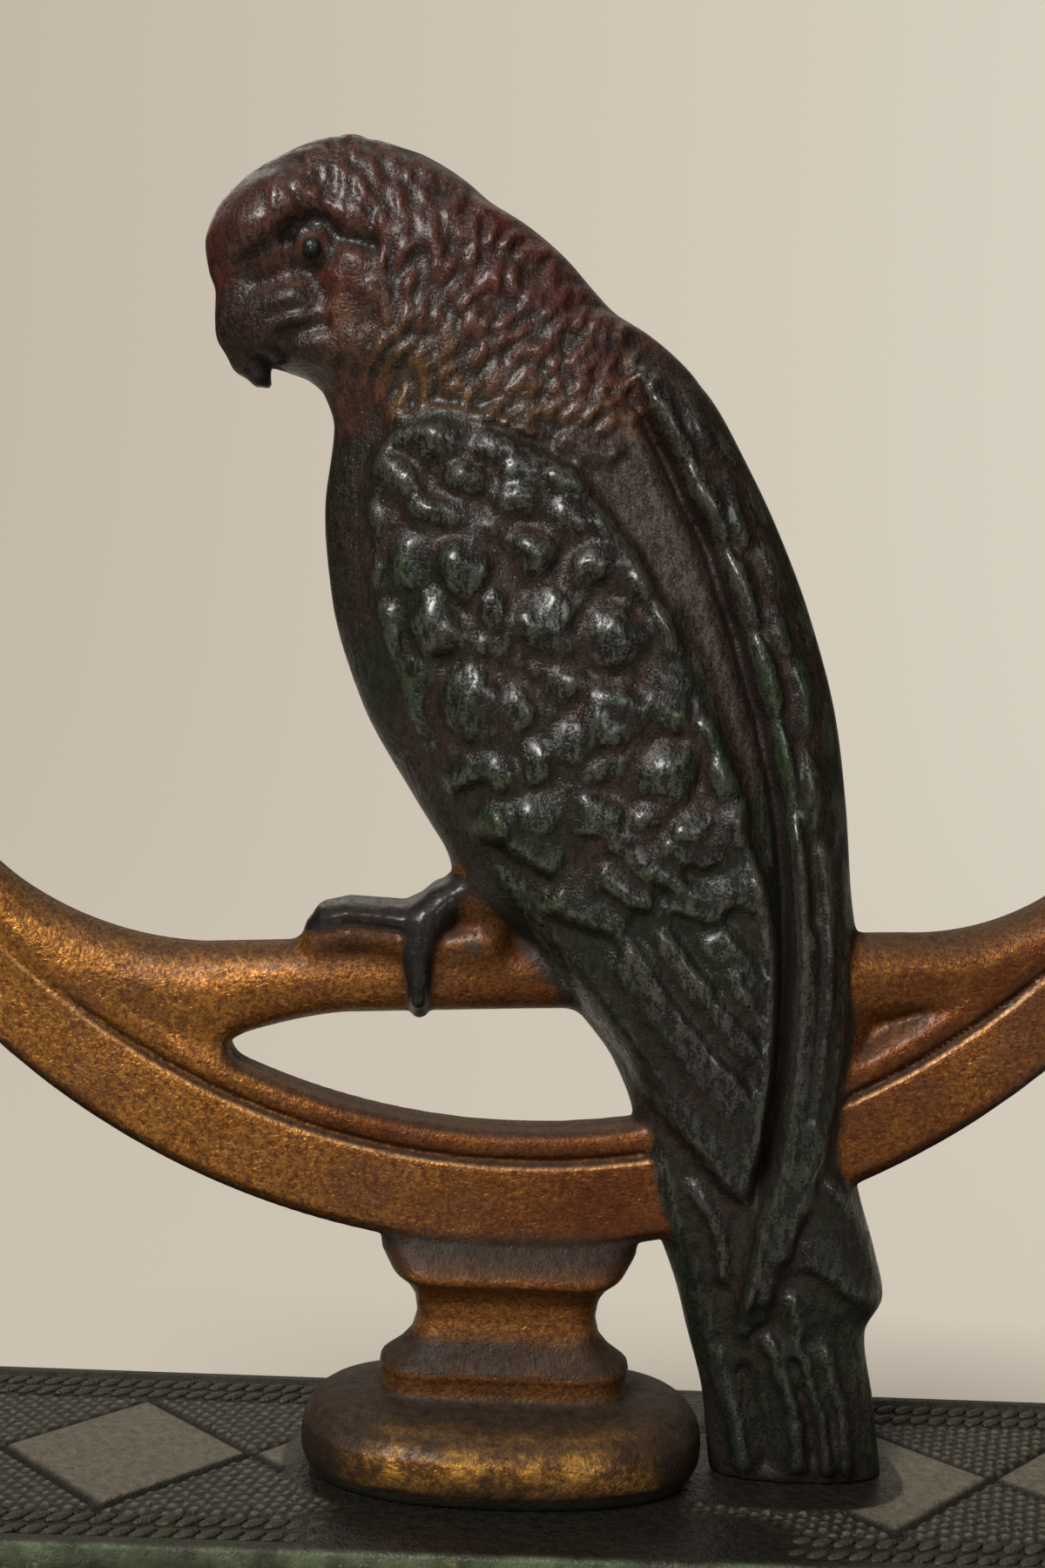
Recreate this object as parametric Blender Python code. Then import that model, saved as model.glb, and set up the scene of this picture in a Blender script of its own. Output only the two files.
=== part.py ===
"""Cast iron doorstop: a parrot perched in an openwork ring on a flattened pedestal and a long base.

The figure is cast in two halves that meet on the ring's middle plane. Two screws from behind
hold the halves together, and two screws from beneath hold the figure to the tray-like base,
which stands on four rubber bumpers. Metres, +Z up, the front faces -Y.
"""
import math

import bmesh
import bpy
from mathutils import Matrix, Vector

MM = 0.001

# Fits between pieces
CLEARANCE = 0.3 * MM

# Base casting
BASE_LENGTH = 177.8 * MM
BASE_DEPTH = 41.0 * MM
BASE_HEIGHT = 17.8 * MM
BASE_CORNER_RADIUS = 3.0 * MM
BASE_EDGE_ROUND = 0.9 * MM
BASE_WALL = 3.4 * MM
BASE_TOP_PLATE = 3.2 * MM

# Rubber bumpers
BUMPER_HEIGHT = 3.0 * MM
BUMPER_RADIUS = 6.0 * MM
BUMPER_STEM_RADIUS = 2.5 * MM
BUMPER_STEM_LENGTH = 5.0 * MM
BUMPER_BOSS_RADIUS = 6.6 * MM
BUMPER_EDGE_ROUND = 0.7 * MM

# Ring
RING_OUTER_RADIUS = 79.8 * MM
RING_WIDTH_AT_BOTTOM = 11.8 * MM
RING_WIDTH_AT_TOP = 4.8 * MM
RING_HALF_DEPTH = 3.5 * MM
RING_BEAD_WIDTH = 2.8 * MM
RING_GROOVE_DEPTH = 0.9 * MM
RING_RIM_WIDTH = 1.5 * MM
RING_RIM_STEP = 0.8 * MM

# Pedestal under the ring
PEDESTAL_HEIGHT = 22.9 * MM
PEDESTAL_FOOT_HALF_WIDTH = 20.2 * MM
PEDESTAL_FOOT_HALF_DEPTH = 12.3 * MM
PEDESTAL_FOOT_HEIGHT = 6.6 * MM
PEDESTAL_DRUM_HALF_WIDTH = 12.6 * MM
PEDESTAL_DRUM_HALF_DEPTH = 5.0 * MM
PEDESTAL_NECK_HALF_WIDTH = 9.2 * MM
PEDESTAL_NECK_HALF_DEPTH = 3.2 * MM
PEDESTAL_COLLAR_HALF_WIDTH = 12.9 * MM
PEDESTAL_COLLAR_HALF_DEPTH = 5.0 * MM

# Perch: a round branch that crosses the ring and flows into it
PERCH_TOP_LEFT = 52.3 * MM
PERCH_TOP_RIGHT = 56.0 * MM
PERCH_THICKNESS = 7.4 * MM
PERCH_HALF_DEPTH = 3.9 * MM
PERCH_FILLET_RADIUS = 34.0 * MM
PERCH_CROTCH_LEFT = 28.4 * MM
PERCH_WEB_RIGHT = 31.0 * MM
WEB_POCKET_DEPTH = 1.7 * MM

# Parrot
BIRD_HEIGHT = 131.6 * MM
WING_STEP = 1.9 * MM
WING_CROWN = 0.6 * MM
BACK_GROOVE_DEPTH = 1.3 * MM

# Screws that join the two halves
FIGURE_SCREW_RADIUS = 1.5 * MM
FIGURE_SCREW_HEAD_RADIUS = 2.8 * MM
FIGURE_SCREW_HEAD_HEIGHT = 2.0 * MM
FIGURE_SCREW_ENGAGEMENT = 4.6 * MM

# Screws and washers that hold the figure to the base
PEDESTAL_SCREW_RADIUS = 2.4 * MM
PEDESTAL_SCREW_HEAD_RADIUS = 4.6 * MM
PEDESTAL_SCREW_HEAD_HEIGHT = 3.2 * MM
PEDESTAL_SCREW_DEPTH = 8.0 * MM
TAIL_SCREW_RADIUS = 1.3 * MM
TAIL_SCREW_HEAD_RADIUS = 2.6 * MM
TAIL_SCREW_HEAD_HEIGHT = 1.9 * MM
TAIL_SCREW_DEPTH = 8.0 * MM
WASHER_THICKNESS = 0.9 * MM
WASHER_MARGIN = 1.3 * MM
SLOT_SHARE_OF_HEAD = 0.45
SLOT_WIDTH = 0.7 * MM

# Sizes that follow from the sizes above
BASE_TOP = BUMPER_HEIGHT + BASE_HEIGHT
RING_OPENING_RADIUS = RING_OUTER_RADIUS - (RING_WIDTH_AT_BOTTOM + RING_WIDTH_AT_TOP) / 2.0
RING_CENTRE_Z = PEDESTAL_HEIGHT + RING_OUTER_RADIUS
OPENING_CENTRE_Z = PEDESTAL_HEIGHT + RING_WIDTH_AT_BOTTOM + RING_OPENING_RADIUS
CENTRE_OFFSET = OPENING_CENTRE_Z - RING_CENTRE_Z

# Bird's outline from the tail's foot to the crown, measured in millimetres on a bird of the
# height of its last row: height, left edge, right edge, half thickness
BIRD_OUTLINE = [
    (0.0, 20.9, 38.6, 3.3),
    (8.0, 19.9, 37.6, 3.5),
    (14.9, 18.3, 36.6, 3.9),
    (18.8, 17.2, 38.4, 4.5),
    (23.5, 15.4, 37.3, 4.9),
    (29.0, 12.8, 35.6, 5.4),
    (36.0, 11.2, 33.6, 5.9),
    (42.0, 9.0, 34.0, 6.3),
    (47.0, 5.3, 34.2, 6.7),
    (53.0, 1.0, 33.9, 7.2),
    (60.0, -4.8, 32.8, 7.9),
    (68.0, -11.0, 31.9, 8.5),
    (77.0, -16.9, 30.4, 8.9),
    (87.0, -20.3, 27.3, 9.0),
    (96.0, -21.4, 23.4, 8.6),
    (103.5, -20.8, 19.0, 8.0),
    (106.8, -21.9, 17.3, 7.8),
    (109.2, -26.2, 15.4, 7.6),
    (112.0, -31.6, 12.2, 7.5),
    (117.0, -33.3, 5.6, 7.4),
    (121.0, -33.9, 1.7, 7.2),
    (125.5, -32.2, -5.2, 6.4),
    (129.2, -28.4, -10.3, 4.6),
    (131.0, -24.8, -15.2, 2.8),
    (131.6, -21.6, -18.4, 1.4),
]
BIRD_ROWS = 43
BIRD_COLUMN_COUNT_TO_GROOVE = 13
BIRD_COLUMN_COUNT_PAST_GROOVE = 6

# Near wing: its edge as a closed line of points on the bird's side, across and up
NEAR_WING = [
    (-17.8, 98.0), (-14.7, 103.7), (-10.8, 104.9), (-2.9, 103.5), (6.1, 96.8), (12.7, 87.1),
    (20.0, 70.7), (23.4, 56.0), (24.0, 42.0), (21.7, 29.2), (14.4, 33.1), (8.6, 40.5),
    (1.5, 50.0), (-7.0, 62.0), (-14.0, 76.0), (-17.6, 89.0),
]

# Groove between the back and the far wing, as height and place across, carried on to the tail's
# foot and to the crown so that one column of the body's skin follows it all the way
BACK_GROOVE = [
    (0.0, 28.6), (15.0, 27.0), (26.0, 22.4), (34.0, 23.2), (41.0, 24.2), (52.7, 25.1), (68.3, 23.4),
    (80.2, 19.9), (91.7, 15.6), (102.0, 11.4), (110.1, 7.0), (117.0, -2.5), (125.0, -12.0), (131.6, -19.6),
]
BACK_GROOVE_START = 30.0
BACK_GROOVE_END = 111.0

# Tail feathers: where each rib starts and ends, across and up
TAIL_RIBS = [
    ((16.8, 27.0), (22.4, 2.0)),
    ((19.6, 25.0), (26.2, 2.0)),
    ((27.2, 20.0), (30.4, 2.0)),
    ((31.6, 20.0), (34.6, 2.0)),
]

# Thigh and toes: each point gives its place across and up, how far it stands in front of the
# seam, and the half height and half depth of the limb there
THIGH = [
    (2.0, 64.0, 0.0, 5.4, 5.6), (-2.4, 57.6, 0.0, 4.6, 4.7), (-4.6, 53.0, 0.0, 3.8, 4.2),
    (-5.4, 49.8, 0.0, 3.0, 3.4),
]
LONG_TOE = [
    (-4.0, 59.0, 0.0, 2.9, 3.8), (-8.2, 56.3, 0.0, 2.4, 3.6), (-12.4, 54.8, 0.0, 1.9, 3.5),
    (-16.6, 55.0, 0.0, 2.0, 3.4), (-19.6, 54.5, 0.0, 1.8, 3.0), (-21.3, 53.6, 0.0, 0.9, 1.8),
]
FRONT_TOE = [
    (-8.2, 57.0, 2.2, 1.9, 1.9), (-10.3, 54.2, 3.2, 1.9, 1.9), (-10.9, 50.4, 3.6, 1.7, 1.6),
    (-10.5, 47.4, 2.9, 1.5, 1.5), (-10.1, 46.2, 1.2, 1.0, 1.2),
]
LIMB_SIDES = 12

# Beak's hook: place across and up, half width and half depth
BEAK_HOOK = [
    (-28.6, 114.5, 3.6, 4.2), (-29.4, 111.2, 2.9, 3.4), (-29.0, 109.0, 1.9, 2.2), (-27.9, 107.4, 0.6, 0.8),
]
EYE_PLACE = (-22.9, 119.6)
EYE_RADIUS = 1.3 * MM
BROW_LINE = ((-29.0, 121.0), (-21.5, 122.2))
CHEEK_PLACE = (-18.5, 115.0)
CERE_LINE = ((-33.4, 116.6), (-24.0, 112.6))
UPPER_SCREW_PLACE = (-1.0, 96.0)
LOWER_SCREW_PLACE = (11.0, 68.0)
TAIL_SCREW_X = 29.6


def clear_scene():
    for item in list(bpy.data.objects):
        bpy.data.objects.remove(item, do_unlink=True)


def bird_unit():
    """Metres for each unit of the bird's outline."""
    return BIRD_HEIGHT / BIRD_OUTLINE[-1][0]


def eased(stations, place, column):
    """Smooth value of one column at a place between the stations (cubic through each of them)."""
    last = len(stations) - 1
    if place <= stations[0][0]:
        return stations[0][column]
    if place >= stations[last][0]:
        return stations[last][column]
    low = max(i for i in range(last) if stations[i][0] <= place)
    span = stations[low + 1][0] - stations[low][0]
    share = (place - stations[low][0]) / span

    def slope(i):
        before = max(i - 1, 0)
        after = min(i + 1, last)
        if before < i < after:
            left = (stations[i][column] - stations[before][column]) / (stations[i][0] - stations[before][0])
            right = (stations[after][column] - stations[i][column]) / (stations[after][0] - stations[i][0])
            if left * right <= 0.0:
                return 0.0
            return 2.0 * left * right / (left + right)
        return (stations[after][column] - stations[before][column]) / (stations[after][0] - stations[before][0])

    start = stations[low][column]
    end = stations[low + 1][column]
    rise = 3.0 * share ** 2 - 2.0 * share ** 3
    lead = share ** 3 - 2.0 * share ** 2 + share
    trail = share ** 3 - share ** 2
    return start + (end - start) * rise + span * (slope(low) * lead + slope(low + 1) * trail)


def segment_distance(x, z, start, end):
    """Distance from a point to a straight piece of line, and how far along it the foot lies."""
    along = (end[0] - start[0], end[1] - start[1])
    length_squared = along[0] ** 2 + along[1] ** 2
    share = ((x - start[0]) * along[0] + (z - start[1]) * along[1]) / length_squared
    share = min(1.0, max(0.0, share))
    return math.hypot(x - start[0] - share * along[0], z - start[1] - share * along[1]), share


def inside(x, z, outline):
    """Whether a point lies inside a closed outline."""
    crossed = False
    for start, end in zip(outline, outline[1:] + outline[:1]):
        if (start[1] > z) != (end[1] > z):
            meeting = start[0] + (z - start[1]) * (end[0] - start[0]) / (end[1] - start[1])
            crossed = crossed != (x < meeting)
    return crossed


def soft_step(value, width):
    """Rises smoothly from 0 to 1 while value goes from 0 to width."""
    share = min(1.0, max(0.0, value / width))
    return share * share * (3.0 - 2.0 * share)


def ridge(distance, width):
    """A rounded ridge: 1 on the line, fading to 0 about two widths away."""
    return math.exp(-(distance / width) ** 2)


def bird_relief(x, z):
    """How far the carving stands above the plain body, in the outline's millimetres."""
    unit = bird_unit()
    height = 0.0
    if inside(x, z, NEAR_WING):
        edge = min(segment_distance(x, z, a, b)[0] for a, b in zip(NEAR_WING, NEAR_WING[1:] + NEAR_WING[:1]))
        height += (WING_STEP * soft_step(edge, 1.4) + WING_CROWN * soft_step(edge, 9.0)) / unit
    beside = x - eased(BACK_GROOVE, z, 1)
    run = soft_step(z - BACK_GROOVE_START, 12.0) * soft_step(BACK_GROOVE_END - z, 9.0)
    height -= BACK_GROOVE_DEPTH / unit * ridge(beside, 1.6) * run
    height += 0.9 * ridge(beside - 3.4, 2.0) * run
    for start, end in TAIL_RIBS:
        away, share = segment_distance(x, z, start, end)
        height += 0.6 * ridge(away, 1.2) * soft_step(share, 0.2)
    brow = segment_distance(x, z, *BROW_LINE)[0]
    socket = math.hypot(x - EYE_PLACE[0], z - EYE_PLACE[1])
    cheek = math.hypot(x - CHEEK_PLACE[0], z - CHEEK_PLACE[1])
    height += 0.6 * ridge(brow, 2.2) - 0.7 * ridge(socket, 2.2) + 0.6 * ridge(cheek, 3.6)
    cere = segment_distance(x, z, *CERE_LINE)[0]
    height -= 0.7 * ridge(cere, 1.3)
    return height


def bird_depth(x, z):
    """Distance of the bird's front surface from the seam, in the outline's millimetres."""
    left = eased(BIRD_OUTLINE, z, 1)
    right = eased(BIRD_OUTLINE, z, 2)
    share = min(1.0, abs((2.0 * x - left - right) / (right - left)))
    swell = math.sqrt(max(0.0, 1.0 - share ** 2.4))
    body = eased(BIRD_OUTLINE, z, 3) * swell
    return body + bird_relief(x, z) * soft_step(swell, 0.75)


def material(name, colour, roughness, metallic):
    made = bpy.data.materials.new(name)
    made.use_nodes = True
    shader = made.node_tree.nodes["Principled BSDF"]
    shader.inputs["Base Color"].default_value = (*colour, 1.0)
    shader.inputs["Roughness"].default_value = roughness
    shader.inputs["Metallic"].default_value = metallic
    return made


def finish_object(name, bm, finish=None, smooth_angle=math.radians(40.0)):
    """Turn a bmesh into a named object with outward faces, smooth shaded."""
    bmesh.ops.recalc_face_normals(bm, faces=bm.faces)
    mesh = bpy.data.meshes.new(name)
    bm.to_mesh(mesh)
    bm.free()
    mesh.shade_smooth()
    mesh.set_sharp_from_angle(angle=smooth_angle)
    made = bpy.data.objects.new(name, mesh)
    bpy.context.scene.collection.objects.link(made)
    if finish is not None:
        mesh.materials.append(finish)
    return made


def loft(loops, closed=False):
    """Skin a row of closed loops that hold the same number of points."""
    bm = bmesh.new()
    rings = [[bm.verts.new(point) for point in loop] for loop in loops]
    pairs = list(zip(rings, rings[1:]))
    if closed:
        pairs.append((rings[-1], rings[0]))
    for lower, upper in pairs:
        count = len(lower)
        for i in range(count):
            j = (i + 1) % count
            bm.faces.new((lower[i], lower[j], upper[j], upper[i]))
    if not closed:
        bm.faces.new(rings[0][::-1])
        bm.faces.new(rings[-1])
    return bm


def turned(profile, steps=18):
    """Spin a profile of (radius, height) points, first and last on the axis, about Z."""
    bm = bmesh.new()
    verts = [bm.verts.new((radius, 0.0, height)) for radius, height in profile]
    edges = [bm.edges.new(pair) for pair in zip(verts, verts[1:])]
    bmesh.ops.spin(bm, geom=verts + edges, cent=(0, 0, 0), axis=(0, 0, 1),
                   angle=math.tau, steps=steps, use_duplicate=False)
    bmesh.ops.remove_doubles(bm, verts=bm.verts, dist=0.00002)
    return bm


def cylinder(radius, low, high, steps=16):
    """A cylinder along Z between two heights."""
    return turned([(0.0, low), (radius, low), (radius, high), (0.0, high)], steps)


def box(low, high):
    bm = bmesh.new()
    bmesh.ops.create_cube(bm, size=1.0)
    size = Vector(high) - Vector(low)
    bmesh.ops.scale(bm, vec=size, verts=bm.verts)
    bmesh.ops.translate(bm, vec=(Vector(low) + Vector(high)) / 2.0, verts=bm.verts)
    return bm


def placed(bm, matrix):
    bmesh.ops.transform(bm, matrix=matrix, verts=bm.verts)
    return bm


def combine(target, tool_bm, operation):
    """Apply one exact Boolean to the target and throw the tool away."""
    tool = finish_object("tool", tool_bm)
    tool.hide_render = True
    tool.display_type = 'WIRE'
    modifier = target.modifiers.new("cut", 'BOOLEAN')
    modifier.operation = operation
    modifier.solver = 'EXACT'
    modifier.object = tool
    evaluated = target.evaluated_get(bpy.context.evaluated_depsgraph_get())
    result = bpy.data.meshes.new_from_object(evaluated)
    target.modifiers.remove(modifier)
    old = target.data
    target.data = result
    bpy.data.meshes.remove(old)
    bpy.data.objects.remove(tool, do_unlink=True)


def ring_reach(angle):
    """Distance from the opening's centre to the ring's outer edge; angle 0 points down."""
    across = CENTRE_OFFSET * math.sin(angle)
    return CENTRE_OFFSET * math.cos(angle) + math.sqrt(RING_OUTER_RADIUS ** 2 - across ** 2)


def opening_edge(x):
    """Height of the ring opening's lower edge at x, above the base."""
    return OPENING_CENTRE_Z - math.sqrt(max(0.0, RING_OPENING_RADIUS ** 2 - x * x))


def figure_point(x, front, z):
    """A point of the front half: across, distance in front of the seam, height above the base."""
    return Vector((x, -front, BASE_TOP + z))


def ring_body(overlap):
    """Tapering ring: half-round bead at the opening, groove, flat band and a lower outer rim."""
    steps = 48
    bead_top = RING_HALF_DEPTH
    groove_floor = RING_HALF_DEPTH - RING_GROOVE_DEPTH
    rim_front = RING_HALF_DEPTH - RING_RIM_STEP
    inner = RING_OPENING_RADIUS
    loops = []
    for step in range(steps):
        angle = math.tau * step / steps
        outer = ring_reach(angle)
        profile = [
            (inner, -overlap),
            (inner, bead_top - 0.45 * RING_BEAD_WIDTH),
            (inner + 0.16 * RING_BEAD_WIDTH, bead_top - 0.12 * RING_BEAD_WIDTH),
            (inner + 0.48 * RING_BEAD_WIDTH, bead_top),
            (inner + 0.80 * RING_BEAD_WIDTH, bead_top - 0.12 * RING_BEAD_WIDTH),
            (inner + RING_BEAD_WIDTH, groove_floor),
            (inner + 1.18 * RING_BEAD_WIDTH, RING_HALF_DEPTH),
            (outer - RING_RIM_WIDTH, RING_HALF_DEPTH),
            (outer - 0.75 * RING_RIM_WIDTH, rim_front),
            (outer - 0.2 * RING_RIM_WIDTH, rim_front),
            (outer, rim_front - 0.3 * RING_RIM_WIDTH),
            (outer, -overlap),
        ]
        loops.append([
            figure_point(math.sin(angle) * reach, front, OPENING_CENTRE_Z - math.cos(angle) * reach)
            for reach, front in profile
        ])
    return loft(loops, closed=True)


def pedestal_body():
    """Flattened pedestal: cushion foot, drum, hollow neck and a collar that carries the ring."""
    foot_w = PEDESTAL_FOOT_HALF_WIDTH
    foot_d = PEDESTAL_FOOT_HALF_DEPTH
    foot_h = PEDESTAL_FOOT_HEIGHT
    drum_w = PEDESTAL_DRUM_HALF_WIDTH
    drum_d = PEDESTAL_DRUM_HALF_DEPTH
    neck_w = PEDESTAL_NECK_HALF_WIDTH
    neck_d = PEDESTAL_NECK_HALF_DEPTH
    collar_w = PEDESTAL_COLLAR_HALF_WIDTH
    collar_d = PEDESTAL_COLLAR_HALF_DEPTH
    rise = PEDESTAL_HEIGHT - foot_h
    cushion = 0.5 * foot_h
    rows = []
    for step in range(7):
        swing = math.radians(-62.0 + 24.0 * step)
        drawn_in = cushion * (1.0 - math.cos(swing))
        height = CLEARANCE + cushion * (1.0 + math.sin(swing) / math.sin(math.radians(82.0))) * 0.97
        rows.append((height if step else CLEARANCE, foot_w - drawn_in, foot_d - drawn_in))
    rows += [
        (foot_h + 0.02 * rise, drum_w + 0.4 * MM, drum_d + 0.4 * MM),
        (foot_h + 0.057 * rise, drum_w - 0.3 * MM, drum_d - 0.3 * MM),
        (foot_h + 0.19 * rise, drum_w - 0.3 * MM, drum_d - 0.3 * MM),
        (foot_h + 0.245 * rise, drum_w, drum_d),
        (foot_h + 0.31 * rise, drum_w, drum_d),
        (foot_h + 0.415 * rise, (drum_w + neck_w) * 0.5, (drum_d + neck_d) * 0.5),
        (foot_h + 0.51 * rise, neck_w + 0.4 * MM, neck_d + 0.3 * MM),
        (foot_h + 0.605 * rise, neck_w, neck_d),
        (foot_h + 0.71 * rise, neck_w + 0.6 * MM, neck_d + 0.4 * MM),
        (foot_h + 0.80 * rise, (collar_w + neck_w) * 0.5, (collar_d + neck_d) * 0.5),
        (foot_h + 0.86 * rise, collar_w, collar_d),
        (foot_h + 0.91 * rise, collar_w, collar_d - 0.3 * MM),
        (PEDESTAL_HEIGHT + 0.02 * RING_WIDTH_AT_BOTTOM, collar_w - 0.2 * MM, collar_d - 1.2 * MM),
        (PEDESTAL_HEIGHT + 0.12 * RING_WIDTH_AT_BOTTOM, collar_w - 0.5 * MM, RING_HALF_DEPTH - 0.4 * MM),
    ]
    count = 28
    loops = []
    for height, half_width, half_depth in rows:
        squareness = 2.2 if height < foot_h else 2.9
        loop = []
        for i in range(count):
            angle = math.tau * (i + 0.5) / count
            across = math.copysign(abs(math.cos(angle)) ** (2.0 / squareness), math.cos(angle))
            front = math.copysign(abs(math.sin(angle)) ** (2.0 / squareness), math.sin(angle))
            loop.append(figure_point(half_width * across, half_depth * front, height))
        loops.append(loop)
    return loft(loops)


def perch_top(x):
    """Height of the branch's upper edge: a gently rising line with a fillet into the ring."""
    side = PERCH_TOP_LEFT if x < 0.0 else PERCH_TOP_RIGHT
    drop = OPENING_CENTRE_Z - side
    reach = RING_OPENING_RADIUS
    centre_x = math.sqrt((reach - PERCH_FILLET_RADIUS) ** 2 - (drop - PERCH_FILLET_RADIUS) ** 2)
    if abs(x) > centre_x:
        run = min(abs(x) - centre_x, PERCH_FILLET_RADIUS)
        return side + PERCH_FILLET_RADIUS - math.sqrt(PERCH_FILLET_RADIUS ** 2 - run ** 2)
    share = (x + centre_x) / (2.0 * centre_x)
    return PERCH_TOP_LEFT + (PERCH_TOP_RIGHT - PERCH_TOP_LEFT) * share


def perch_bottom(x):
    """Height of the lower edge; past the crotch on either side it runs down into the ring."""
    if x < -PERCH_CROTCH_LEFT or x > PERCH_WEB_RIGHT:
        return opening_edge(x) - 0.12 * RING_WIDTH_AT_BOTTOM
    closing = max(0.0, 1.0 - (x + PERCH_CROTCH_LEFT) / (5.0 * MM)) ** 2
    return perch_top(x) - PERCH_THICKNESS - 2.6 * MM * closing


def perch_body():
    """Branch as a row of oval sections; near the ring its lower half runs down as a web."""
    end = 0.82 * RING_OPENING_RADIUS
    crotch = -PERCH_CROTCH_LEFT
    places = [-end + (end + crotch - 1.0 * MM) * i / 6 for i in range(7)]
    places += [crotch - 0.1 * MM, crotch + 0.2 * MM, crotch + 1.0 * MM, crotch + 2.2 * MM]
    places += [crotch + 4.0 * MM + (PERCH_WEB_RIGHT - crotch - 4.0 * MM) * i / 6 for i in range(7)]
    places += [PERCH_WEB_RIGHT + 1.0 * MM + (end - PERCH_WEB_RIGHT - 1.0 * MM) * i / 6 for i in range(7)]
    count = 20
    loops = []
    for x in places:
        top = perch_top(x)
        axis = top - PERCH_THICKNESS / 2.0
        bottom = perch_bottom(x)
        web = soft_step(axis - bottom - PERCH_THICKNESS / 2.0, 4.0 * MM)
        loop = []
        for i in range(count):
            angle = math.tau * (i + 0.5) / count
            up = math.cos(angle)
            squareness = 2.2 if up > 0.0 else 2.2 + 1.8 * web
            reach = PERCH_THICKNESS / 2.0 if up > 0.0 else axis - bottom
            up = math.copysign(abs(up) ** (2.0 / squareness), up)
            front = math.copysign(abs(math.sin(angle)) ** (2.0 / squareness), math.sin(angle))
            depth = PERCH_HALF_DEPTH if up > 0.0 else PERCH_HALF_DEPTH - 0.5 * MM * web * abs(up)
            loop.append(figure_point(x, depth * front, axis + reach * up))
        loops.append(loop)
    return loft(loops)


def web_pocket():
    """Rounded three-cornered blind pocket where the right arm meets the ring."""
    left = PERCH_WEB_RIGHT + 3.4 * MM
    right = left + 7.2 * MM
    corners = [
        Vector((left, perch_top(left) - PERCH_THICKNESS - 0.9 * MM)),
        Vector((left, opening_edge(left) + 0.9 * MM)),
        Vector((right, perch_top(right) - PERCH_THICKNESS - 0.1 * MM)),
    ]
    centre = sum(corners, Vector((0.0, 0.0))) / 3.0
    outline = []
    for i, corner in enumerate(corners):
        for other in (corners[i - 1], corners[(i + 1) % 3]):
            outline.append(corner + (other - corner) * 0.16)
    loops = []
    for front, share in ((RING_HALF_DEPTH - WEB_POCKET_DEPTH, 0.55), (RING_HALF_DEPTH + 1.0 * MM, 1.12)):
        edge = [centre + (point - centre) * share for point in outline]
        loops.append([figure_point(point.x, front, point.y) for point in edge])
    return loft(loops)


def shares_closing_in(count):
    """Shares from 0 to 1 that lie closer together towards both ends."""
    return [0.5 - 0.5 * math.cos(math.pi * i / count) for i in range(count + 1)]


def bird_body(overlap):
    """Body, head and tail in one skin of rows, each carved by the relief.

    Every row has one point on the groove beside the far wing, so the groove stays a clean line.
    """
    unit = bird_unit()
    top = BIRD_OUTLINE[-1][0]
    start = CLEARANCE / unit
    rows = []
    for i in range(BIRD_ROWS + 1):
        share = i / BIRD_ROWS
        rows.append(start + (top - start) * (share + 0.12 * share * (1.0 - share)))
    rows.insert(-1, (rows[-1] + rows[-2]) / 2.0)
    loops = []
    for z in rows:
        left = eased(BIRD_OUTLINE, z, 1)
        right = eased(BIRD_OUTLINE, z, 2)
        groove = eased(BACK_GROOVE, z, 1)
        across = [left + (groove - left) * s for s in shares_closing_in(BIRD_COLUMN_COUNT_TO_GROOVE)]
        across += [groove + (right - groove) * s for s in shares_closing_in(BIRD_COLUMN_COUNT_PAST_GROOVE)[1:]]
        loop = [figure_point(left * unit, -overlap, z * unit)]
        loop += [figure_point(x * unit, bird_depth(x, z) * unit, z * unit) for x in across]
        loop.append(figure_point(right * unit, -overlap, z * unit))
        loops.append(loop)
    return loft(loops)


def limb(route):
    """Oval tube along a route of points with their own half height and half depth."""
    unit = bird_unit()
    points = [figure_point(x * unit, front * unit, z * unit) for x, z, front, _, _ in route]
    loops = []
    for i, point in enumerate(points):
        heading = (points[min(i + 1, len(points) - 1)] - points[max(i - 1, 0)])
        heading.y = 0.0
        heading.normalize()
        side = Vector((-heading.z, 0.0, heading.x)) * route[i][3] * unit
        front = Vector((0.0, -1.0, 0.0)) * route[i][4] * unit
        loops.append([
            point + math.cos(math.tau * k / LIMB_SIDES) * side + math.sin(math.tau * k / LIMB_SIDES) * front
            for k in range(LIMB_SIDES)
        ])
    return loft(loops)


def eye():
    """Round eye standing in its socket."""
    unit = bird_unit()
    bm = bmesh.new()
    bmesh.ops.create_uvsphere(bm, u_segments=12, v_segments=8, radius=EYE_RADIUS)
    front = bird_depth(*EYE_PLACE) * unit - 0.2 * EYE_RADIUS
    return placed(bm, Matrix.Translation(figure_point(EYE_PLACE[0] * unit, front, EYE_PLACE[1] * unit)))


def beak_hook(count=10):
    """Upper beak's hooked tip below the face."""
    unit = bird_unit()
    loops = []
    for x, z, half_width, half_depth in BEAK_HOOK:
        loops.append([
            figure_point((x + half_width * math.cos(math.tau * k / count)) * unit,
                         half_depth * math.sin(math.tau * k / count) * unit, z * unit)
            for k in range(count)
        ])
    return loft(loops)


def along_depth(bm, place):
    """Lay a shape made along +Z so that +Z points to the front, through a place on the bird."""
    unit = bird_unit()
    turn = Matrix.Rotation(math.radians(90.0), 4, 'X')
    move = Matrix.Translation(figure_point(place[0] * unit, 0.0, place[1] * unit))
    return placed(bm, move @ turn)


def head_seat(place):
    """Distance from the seam to the flat under a figure screw's head, on the back half."""
    return bird_depth(*place) * bird_unit() - FIGURE_SCREW_HEAD_HEIGHT - CLEARANCE


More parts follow.
